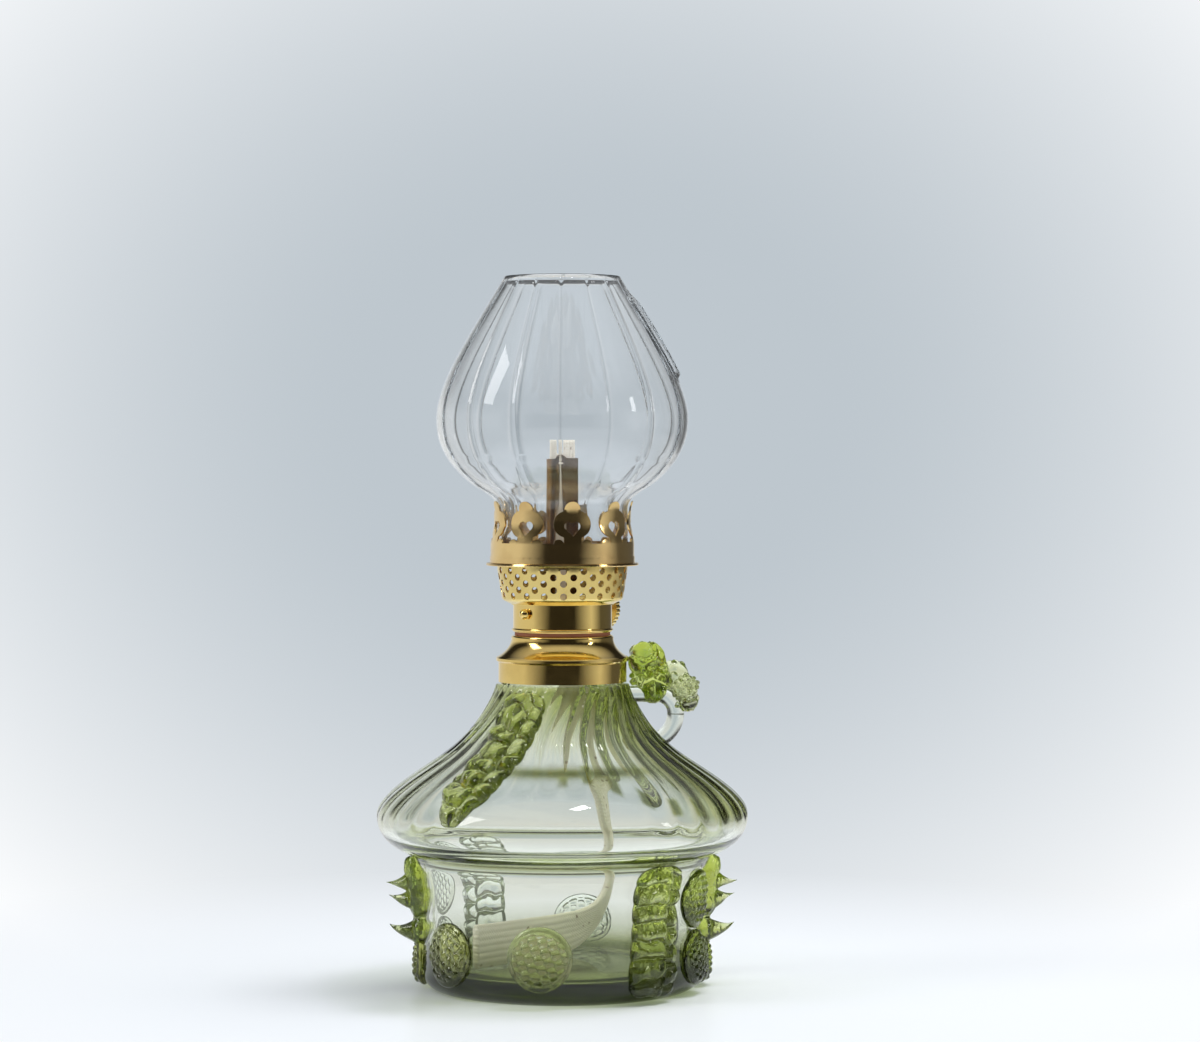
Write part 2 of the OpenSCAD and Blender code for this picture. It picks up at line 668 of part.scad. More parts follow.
// The tail's middle line, from under the burner to its end on the floor.
// x and y are shares of the vessel's inner radius, and the height is a share of the drop.
tail_low = bottom_t + floor_dome + wick_w / 2 + 0.3;
tail_route = [
    [0, 0, 1], [0, 0, 0.94], [0.049, 0.069, 0.87], [0.123, 0.168, 0.785], [0.212, 0.291, 0.66],
    [0.3, 0.419, 0.515], [0.352, 0.493, 0.37], [0.369, 0.517, 0.245], [0.35, 0.498, 0.14],
    [0.259, 0.406, 0.06], [0.111, 0.271, 0.014], [-0.086, 0.086, 0], [-0.296, -0.123, 0],
    [-0.505, -0.333, 0], [-0.64, -0.468, 0],
];
tail_points = [for (p = tail_route) [p[0] * inner_r, p[1] * inner_r, mix(tail_low, wick_z, p[2])]];
tail_steps = 3;
function through(a, b, c, d, t) =
    0.5 * ((2 * b) + (c - a) * t + (2 * a - 5 * b + 4 * c - d) * t * t + (3 * b - a - 3 * c + d) * t * t * t);
tail_line = [
    for (i = [0 : len(tail_points) - 2], k = [0 : tail_steps - 1])
        through(tail_points[max(i - 1, 0)], tail_points[i], tail_points[i + 1],
            tail_points[min(i + 2, len(tail_points) - 1)], k / tail_steps),
    tail_points[len(tail_points) - 1],
];
// The tail twists by tail_twist from its third route point to its seventh
function tail_side(i) =
    let (turn = spindle_angle + tail_twist * min(max(i / tail_steps - 2, 0) / 4, 1))
    [-sin(turn), cos(turn), 0];
function unit(v) = v / norm(v);
function tail_ring(i) =
    let (
        a = tail_line[max(i - 1, 0)],
        b = tail_line[min(i + 1, len(tail_line) - 1)],
        t = i < 2 ? [0, 0, -1] : unit(b - a),
        n = unit(tail_side(i) - (tail_side(i) * t) * t),
        w = cross(t, n),
        hw = wick_w / 2,
        ht = wick_t / 2,
        edge = ht * 0.6
    )
    [for (c = [[hw - edge, ht], [hw, ht - edge], [hw, edge - ht], [hw - edge, -ht],
               [edge - hw, -ht], [-hw, edge - ht], [-hw, ht - edge], [edge - hw, ht]])
        tail_line[i] + c[0] * w + c[1] * n];
module wick_tail() {
    rings = len(tail_line);
    sides = 8;
    points = [for (i = [0 : rings - 1]) each tail_ring(i)];
    faces = concat(
        [[for (k = [0 : sides - 1]) k]],
        [[for (k = [sides - 1 : -1 : 0]) (rings - 1) * sides + k]],
        [for (i = [0 : rings - 2], k = [0 : sides - 1])
            let (a = i * sides + k, b = i * sides + (k + 1) % sides)
            each [[b, a, a + sides], [b, a + sides, b + sides]]]
    );
    color([0.93, 0.88, 0.78]) polyhedron(points, faces);
}

// Gallery: a flange that sits on the basket, and a crown whose prongs hold the chimney
spigot_r = basket_r - basket_sheet - 0.3;
module gallery_seat() {
    color(brass) turned([
        [spigot_r - 0.5, flange_z - 1.1], [spigot_r, flange_z - 1.1], [spigot_r, flange_z],
        [flange_r - 0.7, flange_z], [flange_r - 0.2, flange_z - 0.25], [flange_r, flange_z],
        [flange_r - 0.15, flange_z + 0.5], [flange_r - 0.5, crown_z], [fitter_r - chimney_wall - 1, crown_z],
        [fitter_r - chimney_wall - 1, flange_z], [spigot_r - 0.5, flange_z],
    ]);
}
bud_z = crown_band_z + bud_r + 1.4;
tab_z = bud_z + bud_r + 2.8;
root_w = tab_w + 0.5;
scallop_r = 1.6;
scallop_x = 4.3;
module prong_shape() {
    for (side = [-1, 1]) translate([side * (bud_w / 2 - bud_r), bud_z]) circle(r = bud_r, $fn = 48);
    translate([-tab_w / 2, bud_z]) square([tab_w, tab_z - bud_z - tab_w / 2]);
    translate([0, tab_z - tab_w / 2]) circle(r = tab_w / 2, $fn = small_fn);
    translate([-root_w / 2, crown_band_z - 2]) square([root_w, bud_z - crown_band_z + 1.5]);
    for (side = [-1, 1])
        translate([side * scallop_x, crown_band_z - 0.7]) circle(r = scallop_r, $fn = small_fn);
}
// A heart, drawn for a height of 4.95 and sized to its own height
module heart_shape() {
    translate([0, bud_z - 0.75]) scale(heart_h / 4.95) {
        for (side = [-1, 1]) translate([side * 1.15, 0.2]) circle(r = 1.5, $fn = small_fn);
        polygon([[-2.42, -0.6], [0, -3.25], [2.42, -0.6], [0, 0.55]]);
    }
}
module each_prong(from) {
    for (i = [0 : prongs - 1])
        at(prong_turn + i * 360 / prongs) translate([from, 0, 0]) rotate([90, 0, 90])
            linear_extrude(clear_through) children();
}
module gallery_crown() {
    prong_r = fitter_r + 0.4 + crown_sheet;
    outer = [
        [prong_r + 0.85, tab_z + 0.4], [prong_r + 0.15, tab_z - 2.4], [prong_r, tab_z - 7],
        [crown_r - 0.1, crown_band_z], [crown_r, crown_band_z - 1], [crown_r, crown_z + 2.2],
        [crown_r + 0.2, crown_z + 1.8], [crown_r + 0.2, crown_z],
    ];
    color(brass) difference() {
        intersection() {
            turned(skin(outer, crown_sheet));
            union() {
                translate([0, 0, crown_z - 1])
                    cylinder(h = crown_band_h + 1 - 0.4, r = clear_through, $fn = 48);
                each_prong(6) prong_shape();
            }
        }
        each_prong(6) heart_shape();
    }
}

// Chimney, without its shallow flutes
module chimney() {
    color(clear, 0.3) turned(skin(chimney_line, chimney_wall));
}

font();
for (p = RASPBERRIES) raspberry(p[1], p[2] * drum_h, p[3] * prunt_d);
thorn_strip(-90);  // thorn_strip_left
thorn_strip(94);  // thorn_strip_right
drum_strip(39);  // crimped_strip_front
drum_strip(217);  // crimped_strip_back
shoulder_strip(-31);  // shoulder_strip_front
shoulder_strip(149);  // shoulder_strip_back
handle_strap();
thumb_rest();
handle_crest();
collar_cement();
collar_shell();
collar_thread();
seal_washer();
burner_thread();
burner_neck();
tube_plate();
wick_tube();
wheel_cage();
spindle_bush();
air_basket();
spindle();
star_wheel_near();
star_wheel_far();
spindle_head();
thumbwheel();
thumbwheel_rivet();
wick_top();
wick_tail();
gallery_seat();
gallery_crown();
chimney();
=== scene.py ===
import json
import math
from bisect import bisect

import bmesh
import bpy
from mathutils import Matrix, Vector, noise


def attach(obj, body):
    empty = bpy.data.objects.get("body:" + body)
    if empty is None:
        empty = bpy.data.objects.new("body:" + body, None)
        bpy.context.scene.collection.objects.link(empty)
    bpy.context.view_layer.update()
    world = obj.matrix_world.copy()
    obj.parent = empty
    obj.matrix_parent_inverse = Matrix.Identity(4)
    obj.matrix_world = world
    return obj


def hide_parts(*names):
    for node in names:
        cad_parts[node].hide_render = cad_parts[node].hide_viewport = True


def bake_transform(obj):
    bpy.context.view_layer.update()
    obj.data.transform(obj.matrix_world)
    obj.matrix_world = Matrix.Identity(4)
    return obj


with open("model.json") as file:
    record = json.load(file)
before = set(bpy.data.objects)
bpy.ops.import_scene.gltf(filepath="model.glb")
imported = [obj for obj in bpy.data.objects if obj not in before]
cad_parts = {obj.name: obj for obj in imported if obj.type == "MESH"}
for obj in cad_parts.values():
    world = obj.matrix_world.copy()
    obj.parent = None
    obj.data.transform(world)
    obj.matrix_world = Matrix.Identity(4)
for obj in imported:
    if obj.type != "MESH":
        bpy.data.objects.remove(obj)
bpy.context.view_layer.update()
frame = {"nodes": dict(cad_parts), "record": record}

# Sizes of the lamp in millimetres, as in the part
MM = 0.001
DRUM_R, DRUM_H, DRUM_FLARE, CREASE_OUT, FOOT_ROUND = 43, 42, 0.6, 3.5, 5.5
SHOULDER_R, SHOULDER_RISE, TURN_R, TURN_RISE, NECK_RISE = 57.5, 11, 38, 18.5, 22.5
GLASS_WALL, BOTTOM_T, FLOOR_DOME, NECK_STUB = 2.4, 6.5, 1, 8
NECK_R, NECK_SEAT_R, NECK_BORE_R = 20.38, 18.88, 16.38
CREASE_R = DRUM_R + CREASE_OUT
SHOULDER_Z = DRUM_H + SHOULDER_RISE
TURN_Z = SHOULDER_Z + TURN_RISE
NECK_Z = TURN_Z + NECK_RISE

FITTER_R, FITTER_H, BULB_R, BULB_RISE, TOP_RISE, RIM_R = 20.3, 16.3, 39.2, 27.5, 44.5, 18
CHIMNEY_WALL, CHIMNEY_Z = 1.2, 131.8
FITTER_Z = CHIMNEY_Z + FITTER_H
BULB_Z = FITTER_Z + BULB_RISE
RIM_Z = BULB_Z + TOP_RISE
FLUTES = 16

HANDLE_AZIMUTH, STRAP_R, STRAP_REACH, UPPER_BEND, LOWER_BEND, LOWER_ANGLE = 105, 2.6, 36.6, 6.2, 8.8, 58
ARM_Z = NECK_Z - 3.6
BEND_X, BEND_Z = STRAP_REACH - UPPER_BEND, NECK_Z - 3.6 - UPPER_BEND

# The ribs, and the olive overlay on them: its ring's height, and its two sides as an azimuth and a half width
RIBS = 36
RING_Z = 69.8
RIB_OUT, RIB_NECK_SHARE, RIB_TOP, RIB_START = 0.7, 0.7, 94.5, 98
RIGHT_SIDE, LEFT_SIDE = (72, 36), (272, 42)
# Heights between which the foot turns olive, and between which it turns nearly black as painted shade
BASE_OLIVE, BASE_PAINTED_SHADE = (10, 8), (9.0, 6.8)
DROP_START, DROP_END, DROP_SAG, DROP_HALF = (-6, 4), (70, 44), 8.5, 2.4

# What is pressed and pulled on the wall: how deep its root sits, and what lies clear of the wall at its rim
ROOT, RIM_LIFT = -0.7, 0.05
PRUNT_OUT, PRUNT_ROOT, PRUNT_LIFT, BERRY_OUT, BERRIES_ACROSS = 2.3, 0.6, 0.1, 0.85, 6.6
DRUM_FOLDS, DRUM_STRIP_HALF, DRUM_STRIP_ENDS = 7, 9.5, (2.4, 41.2)
SHOULDER_FOLDS, SHOULDER_STRIP_HALF, SHOULDER_STRIP_LEAN = 8, (8.6, 7.6), 5
THORN_STRIP_ENDS, THORN_STRIP_HALF, THORN_STRIP_OUT, THORN_WAIST_Z = (12.6, 42), 5.2, 4.7, 21.5
THORN_HEIGHTS, THORN_R, THORN_OUT, THORN_LIFT = (17, 27.2, 33.4), 3.4, 6.2, 2.2

# The chimney's flutes, and the thin trail of glass on its right
FLUTE_OUT, FLUTE_CREASE, FLUTE_INNER = 0.35, 0.25, 0.3
TRAIL_AZIMUTH, TRAIL_HALF, TRAIL_OUT, TRAIL_TOP, TRAIL_FOOT = 84, 3.2, 1.3, (215.5, 211), (188.8, 190)

WICK_W, WICK_T, SPINDLE_ANGLE = 14, 3, 60
CORD_OUT, WICK_RIB, WICK_PICK = 0.25, 1.15, 0.95


# Small helpers on numbers and outlines
def mix(a, b, share):
    return a + (b - a) * share


def ease(low, high, value):
    """0 below low, 1 above high, and smooth between them."""
    t = min(max((value - low) / (high - low), 0), 1)
    return t * t * (3 - 2 * t)


def curve(a, b, c, d, steps=16):
    """A round curve from a to b. c and d place its control points as shares of the way in r and in z."""
    a, b = Vector(a), Vector(b)
    p = Vector([mix(a[k], b[k], c[k]) for k in (0, 1)])
    q = Vector([mix(a[k], b[k], d[k]) for k in (0, 1)])
    points = []
    for i in range(steps):
        t = i / steps
        s = 1 - t
        points.append(s * s * s * a + 3 * s * s * t * p + 3 * s * t * t * q + t * t * t * b)
    return points


def arc(centre, r, start, end, steps):
    """Points of a circle's arc, both ends included, with angles in degrees."""
    turns = [math.radians(mix(start, end, i / steps)) for i in range(steps + 1)]
    return [Vector((centre[0] + r * math.cos(w), centre[1] + r * math.sin(w))) for w in turns]


def inset(line, depth):
    """The line moved towards the axis by depth(point), for a line that runs downwards."""
    moved = []
    for i, point in enumerate(line):
        along = (line[min(i + 1, len(line) - 1)] - line[max(i - 1, 0)]).normalized()
        moved.append(point + depth(point) * Vector((along.y, -along.x)))
    return moved


def azimuth_of(point):
    """The angle round the lamp's axis in degrees, from the front towards +X."""
    return math.degrees(math.atan2(point.x, -point.y))


def apart(a, b):
    """The smallest angle between two azimuths, in degrees."""
    return abs((a - b + 180) % 360 - 180)


# The font's wall, which carries all that is applied to it
FONT_LINE = (
    curve((NECK_R, NECK_Z), (TURN_R, TURN_Z), (0.205, 0.467), (0.58, 0.782), 22)
    + curve((TURN_R, TURN_Z), (SHOULDER_R, SHOULDER_Z), (0.41, 0.297), (1.02, 0.643), 34)
    + curve((SHOULDER_R, SHOULDER_Z), (CREASE_R, DRUM_H), (0, 0.527), (0.5, 0.909), 16)
    + curve((CREASE_R, DRUM_H), (DRUM_R, DRUM_H - 14), (0.286, 0.208), (0.943, 0.5), 12)
    + [Vector((DRUM_R, DRUM_H - 14)), Vector((DRUM_R, DRUM_H - 17)), Vector((DRUM_R, DRUM_H - 20))]
)
FOOT_LINE = arc((DRUM_R + DRUM_FLARE - FOOT_ROUND, FOOT_ROUND), FOOT_ROUND, 0, -90, 10)
WALL = sorted((p.y, p.x) for p in FONT_LINE + FOOT_LINE)
WALL_HEIGHTS = [z for z, r in WALL]


def wall_r(z):
    """The font's outer radius at a height."""
    i = min(max(bisect(WALL_HEIGHTS, z), 1), len(WALL) - 1)
    (z0, r0), (z1, r1) = WALL[i - 1], WALL[i]
    return mix(r0, r1, min(max((z - z0) / (z1 - z0), 0), 1))


def on_wall(azimuth, across, z, out):
    """A point in metres: across to the right along the wall, at height z, and out from its surface."""
    slope = (wall_r(z + 1) - wall_r(z - 1)) / 2
    lean = math.hypot(1, slope)
    angle = math.radians(azimuth) + across / wall_r(z)
    r = wall_r(z) + out / lean
    return Vector((r * math.sin(angle), -r * math.cos(angle), z - out * slope / lean)) * MM


def evenly_up(low, high, steps=60):
    """A function from a share of the way up the wall, measured along it, to the height there."""
    heights = [mix(low, high, i / steps) for i in range(steps + 1)]
    runs = [0]
    for a, b in zip(heights, heights[1:]):
        runs.append(runs[-1] + math.hypot(b - a, wall_r(b) - wall_r(a)))

    def height(share):
        run = share * runs[-1]
        i = min(max(bisect(runs, run), 1), steps)
        return mix(heights[i - 1], heights[i], (run - runs[i - 1]) / (runs[i] - runs[i - 1]))

    return height


# Finishes: sockets that can be added and multiplied, and one method for every other node
class Value:
    """A socket in a finish. Arithmetic on it adds Math nodes."""

    def __init__(self, finish, socket):
        self.finish = finish
        self.socket = socket

    def maths(self, operation, *others):
        return self.finish.node("ShaderNodeMath", {"operation": operation}, dict(enumerate(others)))

    def __add__(self, other):
        return self.maths("ADD", self, other)

    def __sub__(self, other):
        return self.maths("SUBTRACT", self, other)

    def __rsub__(self, other):
        return self.maths("SUBTRACT", other, self)

    def __mul__(self, other):
        return self.maths("MULTIPLY", self, other)

    def __truediv__(self, other):
        return self.maths("DIVIDE", self, other)

    def __pow__(self, other):
        return self.maths("POWER", self, other)

    __radd__ = __add__
    __rmul__ = __mul__


class Finish:
    """A node tree under construction, for a material or for the world."""

    def __init__(self, owner, output="ShaderNodeOutputMaterial"):
        owner.use_nodes = True
        self.owner = owner
        self.tree = owner.node_tree
        self.tree.nodes.clear()
        self.output = self.tree.nodes.new(output)

    def node(self, kind, settings=None, sockets=None, output=0):
        made = self.tree.nodes.new(kind)
        for name, value in (settings or {}).items():
            if name == "stops":
                for stop, (place, colour) in zip(self.ramp_stops(made, len(value)), value):
                    stop.position, stop.color = place, colour
            else:
                setattr(made, name, value)
        for name, value in (sockets or {}).items():
            if isinstance(value, Value):
                self.tree.links.new(value.socket, made.inputs[name])
            else:
                made.inputs[name].default_value = value
        return Value(self, made.outputs[output])

    def ramp_stops(self, made, count):
        stops = made.color_ramp.elements
        while len(stops) < count:
            stops.new(1)
        return stops

    def blend(self, share, a, b):
        """A colour between a and b."""
        return self.node("ShaderNodeMix", {"data_type": "RGBA"}, {0: share, 6: a, 7: b}, 2)

    def clamp(self, value, low, high):
        """0 at low and 1 at high, held there beyond them."""
        ends = {0: value, 1: low, 2: high, 3: 0.0, 4: 1.0}
        return self.node("ShaderNodeMapRange", {"clamp": True}, ends)

    def place(self):
        """Object coordinates."""
        return self.node("ShaderNodeTexCoord", output="Object")

    def along(self, vector, axis):
        return self.node("ShaderNodeSeparateXYZ", None, {0: vector}, axis)

    def stretch(self, vector, scale):
        return self.node("ShaderNodeMapping", None, {"Vector": vector, "Scale": scale})

    def noise(self, vector, scale, detail=2.0):
        sockets = {"Vector": vector, "Scale": scale, "Detail": detail}
        return self.node("ShaderNodeTexNoise", None, sockets)

    def bump(self, height, distance, strength=1.0):
        sockets = {"Strength": strength, "Distance": distance, "Height": height}
        return self.node("ShaderNodeBump", None, sockets)

    def attribute(self, name):
        return self.node("ShaderNodeAttribute", {"attribute_name": name}, output="Fac")

    def surface(self, **sockets):
        named = {name.replace("_", " "): value for name, value in sockets.items()}
        return self.node("ShaderNodeBsdfPrincipled", None, named)

    def show(self, shader, volume=None):
        self.tree.links.new(shader.socket, self.output.inputs["Surface"])
        if volume is not None:
            self.tree.links.new(volume.socket, self.output.inputs["Volume"])
        return self.owner


def rgb(red, green, blue):
    return (red, green, blue, 1.0)


def glass(name, tint, loss, shade, waves=None, ior=1.5, clear=1.0):
    """Glass with a shadow of its own shade. loss is how fast red, green and blue fade in it, per metre."""
    made = Finish(bpy.data.materials.new(name))
    colour = tint(made) if callable(tint) else rgb(*tint)
    sockets = {"Base_Color": colour, "Roughness": 0.0, "IOR": ior, "Transmission_Weight": clear}
    if waves:
        size, depth = waves
        sockets["Normal"] = made.bump(made.noise(made.place(), 1000 / size), depth * MM)
    body = made.surface(**sockets)
    open_way = made.node("ShaderNodeBsdfTransparent", None, {"Color": rgb(*shade)})
    lamps = made.node("ShaderNodeLightPath", output="Is Shadow Ray")
    both = made.node("ShaderNodeMixShader", None, {0: lamps, 1: body, 2: open_way})
    most = max(loss)
    left = rgb(*[1 - part / most for part in loss])
    depth_loss = made.node("ShaderNodeVolumeAbsorption", None, {"Color": left, "Density": most})
    return made.show(both, depth_loss)


def ribbed_tint_and_shade(made):
    """Pale green, olive where the overlay of darker glass is, and nearly black where painted shade lies in
    its grooves, on its right side and on the foot, and in the overlay's dark ring and drops.
    """
    olive = made.clamp(made.attribute("olive"), 0.0, 1.0)
    groove = made.clamp(made.attribute("groove"), 0.0, 1.0)
    body = made.blend(olive, rgb(0.985, 0.995, 0.975), rgb(0.52, 0.57, 0.15))
    return made.blend(groove, body, rgb(0.035, 0.045, 0.007))


def fluted_tint_and_shade(made):
    """Clear, with thin grey lines of painted shade in the flutes' creases."""
    groove = made.clamp(made.attribute("groove"), 0.0, 1.0)
    return made.blend(groove, rgb(0.985, 0.99, 0.992), rgb(0.4, 0.43, 0.45))


def polished_brass(name, colour, dull, roughness):
    """Turned brass: fine lines round the axis, and tarnish in patches."""
    made = Finish(bpy.data.materials.new(name))
    place = made.place()
    patches = made.clamp(made.noise(place, 90.0, 4.0), 0.45, 0.75)
    lines = made.noise(made.stretch(place, (60.0, 60.0, 5200.0)), 1.0, 3.0)
    return made.show(made.surface(
        Base_Color=made.blend(patches * 0.6, rgb(*colour), rgb(*dull)),
        Metallic=1.0,
        Roughness=roughness + patches * 0.06 + lines * 0.05,
        Normal=made.bump(lines, 0.01 * MM, 0.5),
    ))


def stained_brass():
    """The wick tube's brass: stained dark by the flame and darker still as painted shade, with a painted
    highlight as a pale stripe along it.
    """
    stripe_x, stripe_half, stripe_edge = -0.0005, 0.0014, 0.002
    made = Finish(bpy.data.materials.new("heat_stained_brass"))
    place = made.place()
    patches = made.clamp(made.noise(place, 90.0, 4.0), 0.4, 0.75)
    # Flame stain, darkened further as painted shade
    stain_and_shade = made.blend(patches, rgb(0.33, 0.19, 0.07), rgb(0.13, 0.06, 0.02))
    aside = made.along(place, 0) - stripe_x
    off = made.node("ShaderNodeMath", {"operation": "ABSOLUTE"}, {0: aside})
    # A painted highlight: a pale, less metallic stripe along the tube
    painted_highlight = 1 - made.clamp(off, stripe_half, stripe_edge)
    return made.show(made.surface(
        Base_Color=made.blend(painted_highlight * 0.9, stain_and_shade, rgb(0.95, 0.86, 0.7)),
        Metallic=1 - painted_highlight * 0.5,
        Roughness=0.16 + patches * 0.08,
    ))


def woven_cotton():
    """Flat woven wick: ribs along it, picks across it, and small brown dots."""
    made = Finish(bpy.data.materials.new("woven_cotton"))
    place = made.node("ShaderNodeUVMap", {"uv_map": "weave"})
    across, along = made.along(place, 0), made.along(place, 1)
    ribs = made.node("ShaderNodeMath", {"operation": "SINE"}, {0: across * (2 * math.pi / WICK_RIB)})
    picks = made.node("ShaderNodeMath", {"operation": "SINE"}, {0: along * (2 * math.pi / WICK_PICK)})
    fuzz = made.noise(place, 4.0, 6.0)
    weave = ribs * picks * 0.5 + fuzz * 0.7
    soil = made.clamp(made.noise(place, 0.35, 5.0), 0.5, 0.8)
    cells = {"Vector": place, "Scale": 0.22, "Randomness": 1.0}
    dots = 1 - made.clamp(made.node("ShaderNodeTexVoronoi", None, cells, "Distance"), 0.1, 0.16)
    # The cream is darker in the weave's hollows as painted shade, and varies at random with the fuzz
    cream = made.blend(made.clamp(weave, -0.2, 0.9), rgb(0.82, 0.75, 0.62), rgb(0.95, 0.91, 0.81))
    worn = made.blend(soil * 0.25, cream, rgb(0.66, 0.52, 0.33))
    return made.show(made.surface(
        Base_Color=made.blend(dots * 0.7, worn, rgb(0.24, 0.13, 0.05)),
        Roughness=0.9,
        Sheen_Weight=0.3,
        Normal=made.bump(weave, 0.12 * MM),
    ))


def pressed_fibre():
    """The red-brown washer."""
    made = Finish(bpy.data.materials.new("pressed_fibre"))
    grain = made.noise(made.stretch(made.place(), (300.0, 300.0, 1500.0)), 1.0, 5.0)
    return made.show(made.surface(
        Base_Color=made.blend(grain, rgb(0.18, 0.05, 0.02), rgb(0.42, 0.16, 0.07)),
        Roughness=0.7,
        Normal=made.bump(grain, 0.05 * MM),
    ))


def set_plaster():
    """The cement between glass and collar."""
    made = Finish(bpy.data.materials.new("set_plaster"))
    grain = made.noise(made.place(), 900.0, 6.0)
    return made.show(made.surface(
        Base_Color=made.blend(grain, rgb(0.6, 0.55, 0.45), rgb(0.85, 0.82, 0.74)),
        Roughness=0.95,
        Normal=made.bump(grain, 0.08 * MM),
    ))


# Each glass: its tint, its loss per metre, its shadow's shade, and its waves' size and depth in millimetres
FONT_GLASS = glass("ribbed_green_glass", ribbed_tint_and_shade, (12, 10, 22), (0.91, 0.92, 0.9))
OLIVE_GLASS = glass("olive_glass", (0.97, 0.98, 0.9), (76, 60, 230), (0.68, 0.7, 0.62), (2.4, 0.28))
PRUNT_GLASS = glass("prunt_glass", (0.99, 0.99, 0.96), (14, 12, 105), (0.8, 0.84, 0.68))
REST_GLASS = glass("thumb_rest_glass", (0.97, 0.98, 0.9), (34, 21, 140), (0.7, 0.78, 0.5), (2.4, 0.2))
CREST_GLASS = glass("crest_glass", (0.98, 0.985, 0.95), (24, 18, 70), (0.8, 0.84, 0.7), (2.0, 0.1))
STRAP_GLASS = glass("strap_glass", (0.97, 0.985, 0.96), (18, 13, 24), (0.88, 0.9, 0.86))
CHIMNEY_GLASS = glass("fluted_clear_glass", fluted_tint_and_shade, (19, 16, 14), (0.95, 0.95, 0.95),
                      ior=1.48, clear=0.985)
# Each brass: its colour, its tarnish and its roughness
BRASS = polished_brass("polished_brass", (0.84, 0.62, 0.22), (0.62, 0.42, 0.13), 0.07)
PALE_BRASS = polished_brass("pale_brass", (0.87, 0.69, 0.27), (0.66, 0.48, 0.14), 0.16)
CROWN_BRASS = polished_brass("crown_brass", (0.85, 0.62, 0.28), (0.6, 0.38, 0.15), 0.12)
HOT_BRASS = stained_brass()
COTTON = woven_cotton()
FIBRE = pressed_fibre()
PLASTER = set_plaster()


# The camera, at the photograph's place, in millimetres of lens, metres and degrees
LENS, SENSOR = 99.33, 36
EYE = Vector((0, -1.026, 0.1615))
YAW, PITCH = 0.65, 0.95
camera = bpy.data.objects.new("camera", bpy.data.cameras.new("camera"))
camera.data.lens = LENS
camera.data.sensor_width = SENSOR
camera.location = EYE
camera.rotation_euler = (math.radians(90 - PITCH), 0, math.radians(-YAW))
bpy.context.scene.collection.objects.link(camera)
bpy.context.scene.camera = camera
bpy.context.scene.view_settings.view_transform = "Standard"
bpy.context.scene.cycles.max_bounces = 24
bpy.context.scene.cycles.glossy_bounces = 12
bpy.context.scene.cycles.transmission_bounces = 24
bpy.context.scene.cycles.transparent_max_bounces = 24


# The backdrop: blue-grey in the middle of the photograph's frame and white round it. Its middle and its half
# width and height are slopes from the eye
MIDDLE, HALF_FRAME = (0.0113, 0.02), (0.2295, 0.1812)
BLUE_GREY, NEAR_WHITE = rgb(0.515, 0.571, 0.617), rgb(0.97, 0.985, 1.0)


def backdrop(made, direction, most=1.0):
    """The backdrop's colour in a direction from the camera's eye. most limits how white it gets."""
    ahead = {0: made.along(direction, 1), 1: 0.001}
    forward = made.node("ShaderNodeMath", {"operation": "MAXIMUM"}, ahead)
    right = made.along(direction, 0) / forward - MIDDLE[0]
    up = made.along(direction, 2) / forward - MIDDLE[1]
    reach = (right * right / HALF_FRAME[0] ** 2 + up * up / HALF_FRAME[1] ** 2) ** 0.5
    pale = made.clamp(reach, 0.3, 1.15) ** 1.6
    held = pale.maths("MINIMUM", pale, most)
    return made.blend(held, BLUE_GREY, NEAR_WHITE)


# The room round the lamp: colours, and angles from the backdrop's middle between which it changes
DARK_ROOM = rgb(0.022, 0.02, 0.017)
PALE_WALL = rgb(0.74, 0.75, 0.74)
PALE_CEILING = rgb(0.62, 0.63, 0.64)
SOFT_ROOM = rgb(0.5, 0.52, 0.55)
BACKDROP_ENDS, RIGHT_DIM, BACK_DARK = (13.0, 26.0), (80.0, 110.0), (108.0, 152.0)
RIGHT_LEAST = 0.12


def pale_walls(made, x, y):
    """How pale the room is in a direction in plan, and how much of it is the backdrop."""
    aside = made.node("ShaderNodeMath", {"operation": "ABSOLUTE"}, {0: x})
    turn = made.node("ShaderNodeMath", {"operation": "ARCTAN2"}, {0: aside, 1: y}) * (180 / math.pi)
    right = made.clamp(x, -0.02, 0.02)
    dim_right = made.clamp(turn, *RIGHT_DIM) * (1 - RIGHT_LEAST) + RIGHT_LEAST
    side = (1 - right) + right * dim_right
    return side * (1 - made.clamp(turn, *BACK_DARK)), 1 - made.clamp(turn, *BACKDROP_ENDS)


def room():
    """The world: the backdrop as the camera sees it, and a dim room with pale walls for glass and metal.

    Light that matt surfaces gather comes from a plain soft room, also where it passes glass on its way.
    """
    made = Finish(bpy.data.worlds.new("studio"), "ShaderNodeOutputWorld")
    direction = made.node("ShaderNodeTexCoord", output="Generated")
    x, y, z = (made.along(direction, axis) for axis in range(3))
    slant = made.node("ShaderNodeMath", {"operation": "ABSOLUTE"}, {0: z})
    wall, behind = pale_walls(made, x, y)
    lit = made.blend(wall * (1 - made.clamp(slant, 0.1, 0.32)), DARK_ROOM, PALE_WALL)
    lit = made.blend(made.clamp(z, 0.5, 0.8), lit, PALE_CEILING)
    around = made.blend(behind * (1 - made.clamp(z, 0.14, 0.3)), lit, backdrop(made, direction, 0.3))
    kinds = ("Is Camera Ray", "Is Glossy Ray", "Is Transmission Ray", "Diffuse Depth")
    paths = [made.node("ShaderNodeLightPath", output=kind) for kind in kinds]
    camera_ray, glossy, through_glass, matt = paths
    sharp = glossy.maths("MAXIMUM", glossy, through_glass) * (1 - made.clamp(matt, 0.0, 1.0))
    colour = made.blend(camera_ray, made.blend(sharp, SOFT_ROOM, around), backdrop(made, direction))
    sky = made.node("ShaderNodeBackground", None, {"Color": colour, "Strength": 1.0})
    made.show(sky)
    bpy.context.scene.world = made.owner


